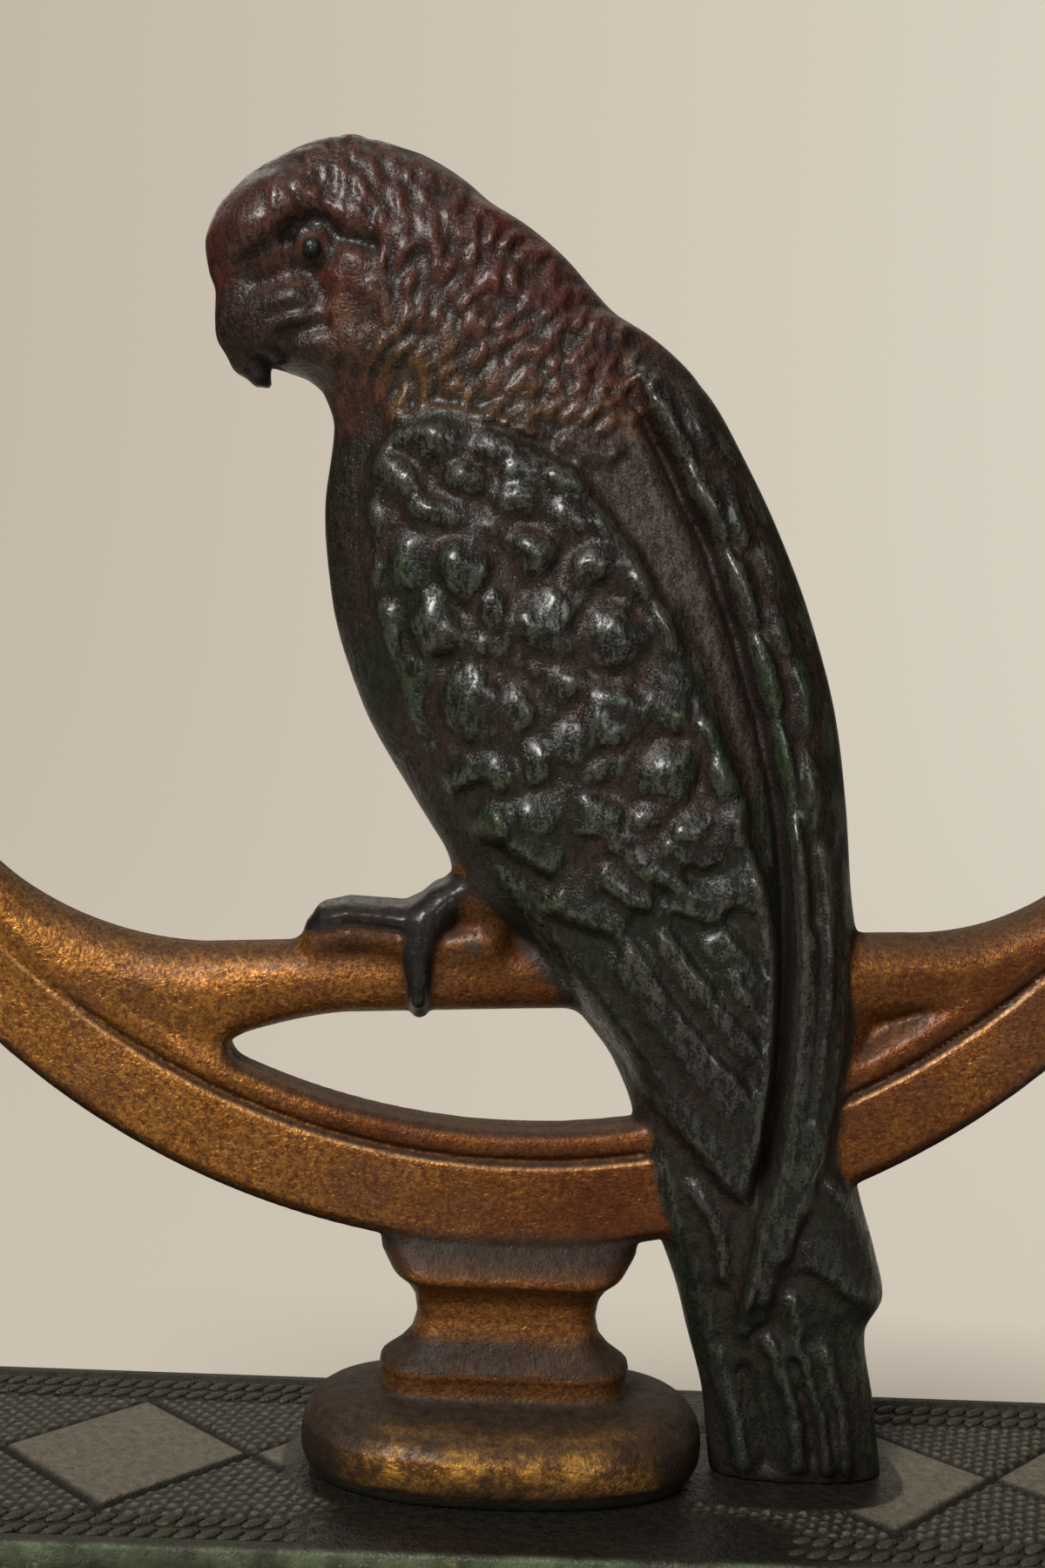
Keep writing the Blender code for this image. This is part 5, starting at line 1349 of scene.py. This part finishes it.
def bird_colour(nodes, paint, marks):
    """Black-green plumage, maroon head, olive neck, beak, eye and toes, with cracked paint and lighter
    crests, partly worn and partly a painted highlight.
    """
    speckle, cracks, patches, sharp = (marks[name] for name in ("speckle", "cracks", "patches", "sharp"))
    down = nodes.blend(speckle, (0.012, 0.0075, 0.006), paint.down)
    covered = nodes.reckon('ADD', marks["proud"], climb(nodes, 44.0, 72.0, 0.4, 0.0), clamp=True)
    green = nodes.scaled(nodes.cloud(900.0, 3.0, 0.6), 0.5, nodes.cloud(75.0, 2.0))
    # Sharp crests, more of them higher up, are lightened to grey and moss green: partly worn paint, partly a
    # painted highlight.
    worn_and_lit_ridges = nodes.scaled(cracks, 0.5, nodes.scaled(patches, 0.8, sharp))
    worn_and_lit_ridges = nodes.times(nodes.span(worn_and_lit_ridges, 0.9, 1.45, 0.0, 0.6), climb(nodes, 38.0, 60.0, 0.4, 1.0))
    mossy = nodes.span(nodes.cloud(60.0, 3.0, 0.6), 0.48, 0.62)
    plume = nodes.coats(
        nodes.blend(covered, down, paint.plume),
        (nodes.span(green, 0.68, 0.90, 0.0, 0.8), (0.007, 0.012, 0.007)),
        (worn_and_lit_ridges, nodes.blend(mossy, (0.050, 0.047, 0.036), (0.032, 0.047, 0.022))),
        (marks["mantle"], nodes.blend(speckle, (0.016, 0.011, 0.0085), (0.044, 0.031, 0.024))))
    crown = nodes.coats(
        nodes.blend(marks["strokes"], (0.018, 0.012, 0.010), paint.crown),
        (nodes.span(nodes.cloud(110.0), 0.52, 0.70, 0.0, 0.6), (0.070, 0.012, 0.008)))
    neck = nodes.blend(marks["strokes"], (0.026, 0.019, 0.013), paint.neck)
    olive = nodes.times(nodes.read("olive"), nodes.span(patches, 0.3, 0.55), clamp=True)
    return nodes.coats(
        plume,
        (marks["head"], nodes.blend(olive, crown, neck)),
        (marks["beak"], nodes.blend(speckle, (0.010, 0.007, 0.006), (0.032, 0.018, 0.014))),
        (nodes.read("groove"), (0.050, 0.017, 0.006)),
        (marks["eye"], (0.010, 0.014, 0.012)),
        (marks["toes"], (0.0045, 0.0050, 0.0045)),
        (nodes.span(cracks, 0.0, 1.0, 0.55, 0.0), (0.006, 0.004, 0.0035)))


def lacquer(nodes, marks):
    """How much clear lacquer is left: most on proud feathers and the toes, little on the gilding."""
    ends = nodes.split(nodes.place)
    brow = nodes.times(nodes.span(ends["X"], -26.0 * MM, -20.0 * MM, 1.0, 0.0), climb(nodes, 118.0, 121.0))
    left = nodes.span(nodes.most(marks["proud"], marks["sharp"]), 0.15, 0.85, 0.05, 0.75)
    for mask, amount in (
            (marks["head"], nodes.span(marks["strokes"], 0.1, 0.8, 0.20, 0.26)),
            (nodes.most(marks["mantle"], marks["beak"]), 0.15),
            (brow, 0.6),
            (marks["hidden"], 0.0),
            (marks["gilding"], 0.2),
            (nodes.most(marks["toes"], marks["eye"]), 0.45)):
        left = nodes.choose(mask, left, amount)
    return nodes.times(left, nodes.span(marks["cracks"], 0.0, 1.0, 0.05, 1.0))


def figure_paint(paint):
    """Bronze gold, maroon and black-green paint over the carved figure, by its vertex masks, with painted
    shade in its hollows.
    """
    material, nodes, shader = painted("figure_paint")
    marks = {name: nodes.read(name) for name in ("gilding", "toes", "raised", "sharp", "mantle", "head",
                                                 "beak", "eye")}
    gilding, toes = marks["gilding"], marks["toes"]
    drawn = nodes.span(nodes.most(gilding, toes), 0.0, 1.0, 1.7, 0.0)
    rough = nodes.span(toes, 0.0, 1.0, 1.1, 0.3)
    grain = nodes.shared(cast_grain(), Fine=rough, Middle=1.2, Pits=0.4, Broad=4.0, Streaks=drawn)
    speckle = grain["Speckle"]
    hidden = nodes.span(nodes.read("hidden"), 0.06, 0.50)
    patches = nodes.cloud(130.0, 3.0, 0.6)
    marks.update({
        "speckle": speckle, "cracks": grain["Cracks"], "patches": patches, "hidden": hidden,
        "proud": nodes.span(nodes.scaled(patches, 0.7, marks["raised"]), 0.05, 0.75),
        "strokes": nodes.span(nodes.scaled(speckle, 0.4, marks["sharp"]), -0.5, 0.8),
    })
    gold, share = gilt_colour(nodes, paint, speckle)
    worn = nodes.times(nodes.read("worn"), nodes.span(nodes.cloud(1100.0), 0.38, 0.52))
    yellow = nodes.blend(share, (0.15, 0.060, 0.014), (0.64, 0.34, 0.055))
    broken = nodes.span(nodes.cloud(250.0, 5.0, 0.75), 0.42, 0.60)
    gold = nodes.coats(
        gold,
        (worn, (0.050, 0.050, 0.046)),
        (climb(nodes, 7.6, 9.0, 0.85, 0.0), nodes.blend(broken, (0.042, 0.018, 0.008), yellow)))
    # Soot and painted shade darken the pedestal's bands and the torus's ends.
    soot_and_shade = nodes.times(nodes.read("soot_and_shade"), nodes.span(patches, 0.25, 0.55, 1.0, 1.25), clamp=True)
    # Faces that look up get a grey-brown veil: partly dust, partly painted light, with darker tops on the
    # gilding and a grey sheen on the darkest feathers.
    facing_up = nodes.shared(dust_and_light_veil(), From=0.48, To=0.90)["Mask"]
    dust_and_painted_light = nodes.times(facing_up, nodes.span(gilding, 0.0, 1.0, 0.25, 0.7))
    colour = nodes.coats(
        bird_colour(nodes, paint, marks),
        (gilding, gold),
        (soot_and_shade, nodes.blend(speckle, (0.008, 0.005, 0.0034), (0.019, 0.011, 0.0062))),
        (nodes.times(climb(nodes, 0.3, 1.6, 0.75, 0.0), gilding), (0.016, 0.030, 0.020)),
        # Painted shade: creases and hollows are darkened, less on the gilding, partly standing for dark glaze
        # left in them.
        (nodes.times(hidden, nodes.span(gilding, 0.0, 1.0, 0.92, 0.55)), (0.009, 0.0058, 0.0044)),
        (dust_and_painted_light, nodes.blend(speckle, (0.012, 0.0075, 0.005), (0.038, 0.024, 0.015))))
    gloss = nodes.choose(gilding, 0.3, nodes.span(speckle, 0.0, 1.0, 0.52, 0.38))
    gloss = nodes.choose(dust_and_painted_light, nodes.choose(hidden, gloss, 0.7), 0.7)
    metal = nodes.times(gilding, nodes.scaled(share, 0.15, 0.8))
    # clean: free of the dust and painted light veil and of soot and painted shade.
    clean = nodes.reckon('SUBTRACT', 1.0, nodes.most(dust_and_painted_light, soot_and_shade))
    nodes.fill(shader, {
        "Base Color": colour,
        "Roughness": gloss,
        "Metallic": nodes.times(metal, clean),
        "Coat Weight": nodes.times(lacquer(nodes, marks), clean),
        "Coat Roughness": 0.26,
        "Specular IOR Level": 0.15,
        "Normal": nodes.bump(grain["Height"], PAINT_GRAIN),
    })
    return material


def base_paint(paint):
    """Black-green paint on the base, dulled on top and worn along its edges, where a lighter green strip is
    partly wear and partly a painted highlight; the weave's knobs get a painted highlight and the lattice's
    lines painted shade.
    """
    material, nodes, shader = painted("base_paint")
    grain = nodes.shared(cast_grain(), Fine=1.0, Middle=2.4, Pits=0.8, Broad=4.0)
    speckle = grain["Speckle"]
    sunk, plain = nodes.read("sunk"), nodes.read("plain")
    top = nodes.coats(
        nodes.blend(speckle, (0.008, 0.007, 0.005), (0.024, 0.021, 0.015)),
        (nodes.read("square"), nodes.blend(speckle, (0.045, 0.039, 0.028), paint.base)),
        # Painted highlight: the weave's knob tops are lightened as if lit.
        (nodes.span(nodes.read("raised"), 0.0, 1.0, 0.0, 0.9), (0.100, 0.088, 0.062)),
        # Painted shade: the lattice's lines are darkened.
        (sunk, (0.004, 0.0035, 0.003)),
        (plain, nodes.blend(speckle, (0.005, 0.0045, 0.0035), (0.014, 0.011, 0.008))))
    olive = nodes.span(nodes.cloud(260.0, 4.0, 0.65), 0.42, 0.66)
    flecks = nodes.span(nodes.cloud(620.0, 3.0, 0.7), 0.62, 0.70)
    facing = nodes.split(nodes.put("NewGeometry").outputs["Normal"])
    # Lighter green along the top edges: partly the green under the black worn through, partly a painted
    # highlight on the rounded edge.
    rim = nodes.times(nodes.read("rim"), nodes.span(nodes.cloud(150.0, 4.0, 0.7), 0.36, 0.60))
    colour = nodes.coats(
        nodes.blend(olive, (0.009, 0.011, 0.0055), (0.018, 0.023, 0.010)),
        (flecks, (0.13, 0.085, 0.030)),
        (nodes.span(facing["Z"], 0.2, 0.7), top),
        (rim, (0.062, 0.078, 0.044)))
    gloss = nodes.choose(sunk, nodes.span(speckle, 0.0, 1.0, 0.40, 0.60), 0.85)
    nodes.fill(shader, {
        "Base Color": colour,
        "Roughness": nodes.choose(plain, gloss, 0.36),
        "Specular IOR Level": 0.2,
        "Normal": nodes.bump(grain["Height"], PAINT_GRAIN),
    })
    return material


def bloomed(name, clean, bloomed_colour, gloss, spots, grain, metal=None):
    """Finish of a small part: clean in one colour and gloss, and bloomed in patches in another."""
    material, nodes, shader = painted(name)
    scale, start = spots
    fine, height = grain
    bloom = nodes.span(nodes.cloud(scale, 4.0, 0.6), start, 0.7)
    nodes.fill(shader, {
        "Base Color": nodes.blend(bloom, clean, bloomed_colour),
        "Roughness": nodes.span(bloom, 0.0, 1.0, *gloss),
        "Normal": nodes.bump(nodes.cloud(fine, 2.0), height),
    })
    if metal:
        nodes.fill(shader, {"Metallic": nodes.span(bloom, 0.0, 1.0, *metal)})
    return material


def sweep_paint(colour, left, right):
    """Pale matt floor that keeps the object's shadow and turns to a glowing backdrop further off, painted
    brighter towards the right as if more light fell on that side.
    """
    material, nodes, shader = painted("sweep_paint")
    nodes.fill(shader, {"Base Color": colour, "Roughness": 0.9})
    place = nodes.split(nodes.place)
    beside = nodes.reckon('POWER', nodes.reckon('ABSOLUTE', place["X"]), 2.0)
    along = nodes.reckon('POWER', nodes.reckon('ABSOLUTE', place["Y"]), 2.0)
    away = nodes.reckon('POWER', nodes.scaled(beside, 0.12, along), 0.5)
    light = nodes.put("Emission")
    # The backdrop's glow is painted brighter on the right, standing in for light falling unevenly on it.
    nodes.fill(light, {"Color": nodes.blend(nodes.span(place["X"], -0.30, 0.30), left, right)})
    path = nodes.put("LightPath").outputs
    mirrored = nodes.reckon('ADD', path["Is Glossy Ray"], path["Is Transmission Ray"], clamp=True)
    middle = nodes.times(nodes.span(place["Y"], 0.10, 0.32), nodes.span(beside, 0.06, 0.25, 1.0, 0.0))
    seen = nodes.times(path["Is Camera Ray"], nodes.span(away, 0.04, 0.11))
    share = nodes.reckon('ADD', nodes.times(mirrored, middle), seen, clamp=True)
    mixed = nodes.fill(nodes.put("MixShader"), {0: share, 1: shader.outputs[0], 2: light.outputs[0]})[0]
    nodes.fill(nodes.tree.nodes["Material Output"], {"Surface": mixed})
    return material


class DOORSTOP_OT_figure(bpy.types.Operator):
    """Carve and paint the figure's two half castings"""

    bl_idname = "doorstop.figure"
    bl_label = "Figure"

    def execute(self, context):
        sizes = context.scene.doorstop_sizes
        figure = Figure(sizes.fine_cell / MM, sizes.coarse_cell / MM)
        paint = figure_paint(context.scene.doorstop_paint)
        front = figure.casting("parrot_casting_front", figure.field, True)
        places = []
        seats = []
        for node in FIXINGS[:2]:
            across, _, up = middle_of(node)
            places.append((across / MM, (up - BASE_TOP) / MM))
            seats.append(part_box(node)[1].y / MM - SCREW_HEAD_SINK)
        bored = figure.bored(places, sizes.screw_recess / MM, seats)
        back = figure.casting("parrot_casting_back", bored, False)
        for piece, node in ((front, "figure_front"), (back, "figure_back")):
            piece.data.materials.append(paint)
            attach(piece, "root")
            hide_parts(node)
        return {'FINISHED'}


class DOORSTOP_OT_base(bpy.types.Operator):
    """Build the base casting with its squares, weave and hollow underside"""

    bl_idname = "doorstop.base"
    bl_label = "Base"

    def execute(self, context):
        base = base_casting(context.scene.doorstop_sizes.base_cell / MM)
        base.data.materials.append(base_paint(context.scene.doorstop_paint))
        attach(base, "root")
        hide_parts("base")
        return {'FINISHED'}


def braid_tree():
    """Geometry Nodes that set beads along a line: pitch, size and finish are its inputs."""
    tree = bpy.data.node_groups.new("braid row", "GeometryNodeTree")
    sockets = [("Line", 'Geometry', 'INPUT'), *((label, 'Float', 'INPUT') for label in BRAID),
               ("Finish", 'Material', 'INPUT'), ("Beads", 'Geometry', 'OUTPUT')]
    for label, kind, side in sockets:
        socket = tree.interface.new_socket(label, in_out=side, socket_type="NodeSocket" + kind)
        if kind == 'Float':
            socket.default_value = BRAID[label]
    nodes = {name: tree.nodes.new(kind) for name, kind in (
        ("entry", "NodeGroupInput"), ("leave", "NodeGroupOutput"), ("curve", "GeometryNodeMeshToCurve"),
        ("spread", "GeometryNodeCurveToPoints"), ("bead", "GeometryNodeMeshUVSphere"),
        ("size", "ShaderNodeCombineXYZ"), ("turn", "ShaderNodeCombineXYZ"),
        ("place", "GeometryNodeInstanceOnPoints"), ("rotate", "GeometryNodeRotateInstances"),
        ("real", "GeometryNodeRealizeInstances"), ("shade", "GeometryNodeSetShadeSmooth"),
        ("finish", "GeometryNodeSetMaterial"), ("align", "FunctionNodeAlignRotationToVector"))}
    nodes["spread"].mode = 'LENGTH'
    nodes["align"].axis = 'X'
    for label, value in (("Segments", 10), ("Rings", 6), ("Radius", 1.0)):
        nodes["bead"].inputs[label].default_value = value
    for source, output, target, label in (
            ("entry", "Line", "curve", "Mesh"), ("curve", "Curve", "spread", "Curve"),
            ("entry", "Pitch", "spread", "Length"), ("spread", "Points", "place", "Points"),
            ("bead", "Mesh", "place", "Instance"), ("spread", "Tangent", "align", "Vector"),
            ("align", "Rotation", "place", "Rotation"), ("entry", "Bead length", "size", "X"),
            ("entry", "Bead width", "size", "Y"), ("entry", "Bead rise", "size", "Z"),
            ("size", "Vector", "place", "Scale"), ("entry", "Lean", "turn", "Z"),
            ("place", "Instances", "rotate", "Instances"), ("turn", "Vector", "rotate", "Rotation"),
            ("rotate", "Instances", "real", "Geometry"), ("real", "Geometry", "shade", "Geometry"),
            ("shade", "Geometry", "finish", "Geometry"), ("entry", "Finish", "finish", "Material"),
            ("finish", "Geometry", "leave", "Beads")):
        tree.links.new(nodes[source].outputs[output], nodes[target].inputs[label])
    return tree


def set_inputs(modifier, values):
    """Set a node tree's inputs by their socket identifiers."""
    for item in modifier.node_group.interface.items_tree:
        if item.item_type == 'SOCKET' and item.in_out == 'INPUT' and item.name in values:
            modifier[item.identifier] = values[item.name]


def braid_lines():
    """Start and end of each row of the border, in metres, broken round the plain front patch."""
    lines = []
    for row, inset in enumerate((RIM_INSET + 0.27 * BORDER_WIDTH, RIM_INSET + 0.73 * BORDER_WIDTH)):
        y = BASE_HIGH.y - inset * MM
        x = BASE_HIGH.x - inset * MM
        shift = 0.5 * row * BEAD_PITCH * MM
        for side in (-1.0, 1.0):
            lines.append(((-x + shift, side * y), (-17.0 * MM, side * y)))
            lines.append(((27.5 * MM + shift, side * y), (x, side * y)))
            lines.append(((side * x, -y + BEAD_PITCH * MM + shift), (side * x, y - 0.5 * BEAD_PITCH * MM)))
    return lines


class DOORSTOP_OT_braid(bpy.types.Operator):
    """Set the braid border's beads on the base with Geometry Nodes"""

    bl_idname = "doorstop.braid"
    bl_label = "Braid border"

    def execute(self, context):
        mesh = bpy.data.meshes.new("braid line")
        points = [(*end, BASE_TOP - BRAID_SINK * MM) for line in braid_lines() for end in line]
        mesh.from_pydata(points, [(i, i + 1) for i in range(0, len(points), 2)], [])
        border = placed("braid_border", mesh)
        modifier = border.modifiers.new("braid", 'NODES')
        modifier.node_group = braid_tree()
        set_inputs(modifier, {**BRAID, "Finish": bpy.data.materials["base_paint"]})
        settle(border, modifier)
        # The braid's beads take a fifth of the weave knobs' painted highlight.
        for name, value in (("plain", 0.0), ("rim", 0.0), ("square", 0.0), ("raised", 0.2), ("sunk", 0.0)):
            add_attribute(border.data, name, np.full(len(border.data.vertices), value))
        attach(border, "root")
        return {'FINISHED'}


class DOORSTOP_OT_fixings(bpy.types.Operator):
    """Finish the screws, washers and rubber bumpers"""

    bl_idname = "doorstop.fixings"
    bl_label = "Screws, washers and bumpers"

    def execute(self, context):
        rust = (0.10, 0.055, 0.03)
        steel = ((900.0, 0.45), (4200.0, 0.00004), (0.95, 0.35))
        finishes = (
            (FIXINGS, bloomed("screw_steel_darkened", (0.20, 0.18, 0.16), rust, (0.38, 0.75), *steel)),
            (WASHERS, bloomed("washer_steel_dull", (0.34, 0.33, 0.31), rust, (0.42, 0.75), *steel)),
            (BUMPERS, bloomed("bumper_rubber_moulded", (0.020, 0.019, 0.018), (0.052, 0.049, 0.045),
                              (0.72, 0.92), (500.0, 0.4), (3200.0, 0.00005))),
        )
        for names, finish in finishes:
            for name in names:
                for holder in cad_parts[name].material_slots:
                    holder.material = finish
        return {'FINISHED'}


class DOORSTOP_OT_stage(bpy.types.Operator):
    """Set the floor, the backdrop, the soft lights and the camera"""

    bl_idname = "doorstop.stage"
    bl_label = "Stage"

    def execute(self, context):
        scene = context.scene
        scene.view_settings.view_transform = 'Standard'
        floor_stage()
        lamps()
        scene.world = world_light()
        scene.camera = camera()
        return {'FINISHED'}


def floor_stage():
    """Pale floor that sweeps up into a backdrop, with walls round its other sides."""
    profile = [(-FLOOR_REACH, 0.0), (SWEEP_START, 0.0)]
    for i in range(1, SWEEP_STEPS + 1):
        swing = math.radians(90.0 * i / SWEEP_STEPS)
        profile.append((SWEEP_START + SWEEP_RADIUS * math.sin(swing), SWEEP_RADIUS * (1.0 - math.cos(swing))))
    back = SWEEP_START + SWEEP_RADIUS
    profile.append((back, WALL_HEIGHT))
    points = [(x, y, z) for y, z in profile for x in (-FLOOR_REACH, FLOOR_REACH)]
    faces = [(2 * i, 2 * i + 1, 2 * i + 3, 2 * i + 2) for i in range(len(profile) - 1)]
    front = -FLOOR_REACH
    corners = ((-FLOOR_REACH, back), (-FLOOR_REACH, front), (FLOOR_REACH, front), (FLOOR_REACH, back))
    for end, start in zip(corners, corners[1:]):
        faces.append(tuple(range(len(points), len(points) + 4)))
        points += [(*start, 0.0), (*end, 0.0), (*end, WALL_HEIGHT), (*start, WALL_HEIGHT)]
    floor = mesh_object("floor_sweep", np.array(points), np.array(faces))
    for polygon in floor.data.polygons:
        polygon.use_smooth = True
    floor.data.materials.append(sweep_paint((0.56, 0.51, 0.43), (0.555, 0.480, 0.390), (0.68, 0.625, 0.52)))


def lamps():
    """Large soft lamps: a key at the front left, a weaker fill, and two from above and behind."""
    target = Vector((0.0, 0.0, 0.11))
    for name, place, size, power, fan in (
            ("key_softbox", (-0.38, -0.62, 0.68), (0.42, 0.38), 1.9, 60.0),
            ("fill_softbox", (0.40, -0.74, 0.34), (0.36, 0.36), 0.25, 60.0),
            ("top_softbox", (0.10, 0.20, 0.95), (0.60, 0.60), 0.3, 90.0),
            ("back_softbox", (-0.24, 0.84, 0.60), (0.50, 0.50), 0.3, 90.0)):
        light = bpy.data.lights.new(name, 'AREA')
        light.shape = 'RECTANGLE'
        light.size, light.size_y = size
        light.energy = power
        light.spread = math.radians(fan)
        light.color = (1.0, 0.97, 0.93)
        heading = (target - Vector(place)).to_track_quat('-Z', 'Y')
        placed(name, light).matrix_world = Matrix.Translation(place) @ heading.to_matrix().to_4x4()


def world_light():
    """Even pale surroundings."""
    world = bpy.data.worlds.new("studio_air")
    world.use_nodes = True
    air = world.node_tree.nodes["Background"]
    air.inputs["Color"].default_value = (0.62, 0.57, 0.50, 1.0)
    air.inputs["Strength"].default_value = 0.05
    return world


def camera():
    """Camera at the photograph's angle: a little above the perch, close and nearly level."""
    data = bpy.data.cameras.new("photo_camera")
    data.sensor_fit = 'VERTICAL'
    data.sensor_height = 36.0
    data.lens = 41.6
    data.clip_start = 0.01
    yaw, pitch, roll = (math.radians(angle) for angle in (-1.21, 3.43, -2.49))
    level = Matrix(((1, 0, 0), (0, 0, -1), (0, 1, 0)))
    tipped = Matrix.Rotation(pitch, 3, 'X') @ level @ Matrix.Rotation(-yaw, 3, 'Z')
    right, down, forward = Matrix.Rotation(-roll, 3, 'Z') @ tipped
    axes = Matrix((right, -down, -forward)).transposed().to_4x4()
    made = placed("photo_camera", data)
    made.matrix_world = Matrix.Translation((-4.5 * MM, -180.9 * MM, BASE_TOP + 80.2 * MM)) @ axes
    return made


class DOORSTOP_PT_panel(bpy.types.Panel):
    """The doorstop's build steps"""

    bl_label = "Doorstop"
    bl_space_type = 'VIEW_3D'
    bl_region_type = 'UI'
    bl_category = "Doorstop"

    def draw(self, context):
        for group in (context.scene.doorstop_sizes, context.scene.doorstop_paint):
            for name in group.__annotations__:
                self.layout.prop(group, name)
        for operator in OPERATORS:
            self.layout.operator(operator.bl_idname)


OPERATORS = (DOORSTOP_OT_figure, DOORSTOP_OT_base, DOORSTOP_OT_braid, DOORSTOP_OT_fixings, DOORSTOP_OT_stage)
CLASSES = (DoorstopSizes, DoorstopPaint) + OPERATORS + (DOORSTOP_PT_panel,)


def register():
    for cls in CLASSES:
        bpy.utils.register_class(cls)
    bpy.types.Scene.doorstop_sizes = bpy.props.PointerProperty(type=DoorstopSizes)
    bpy.types.Scene.doorstop_paint = bpy.props.PointerProperty(type=DoorstopPaint)


def unregister():
    del bpy.types.Scene.doorstop_sizes
    del bpy.types.Scene.doorstop_paint
    for cls in reversed(CLASSES):
        bpy.utils.unregister_class(cls)


def main():
    register()
    bpy.ops.doorstop.figure()
    bpy.ops.doorstop.base()
    bpy.ops.doorstop.braid()
    bpy.ops.doorstop.fixings()
    bpy.ops.doorstop.stage()


if __name__ == "__main__":
    main()
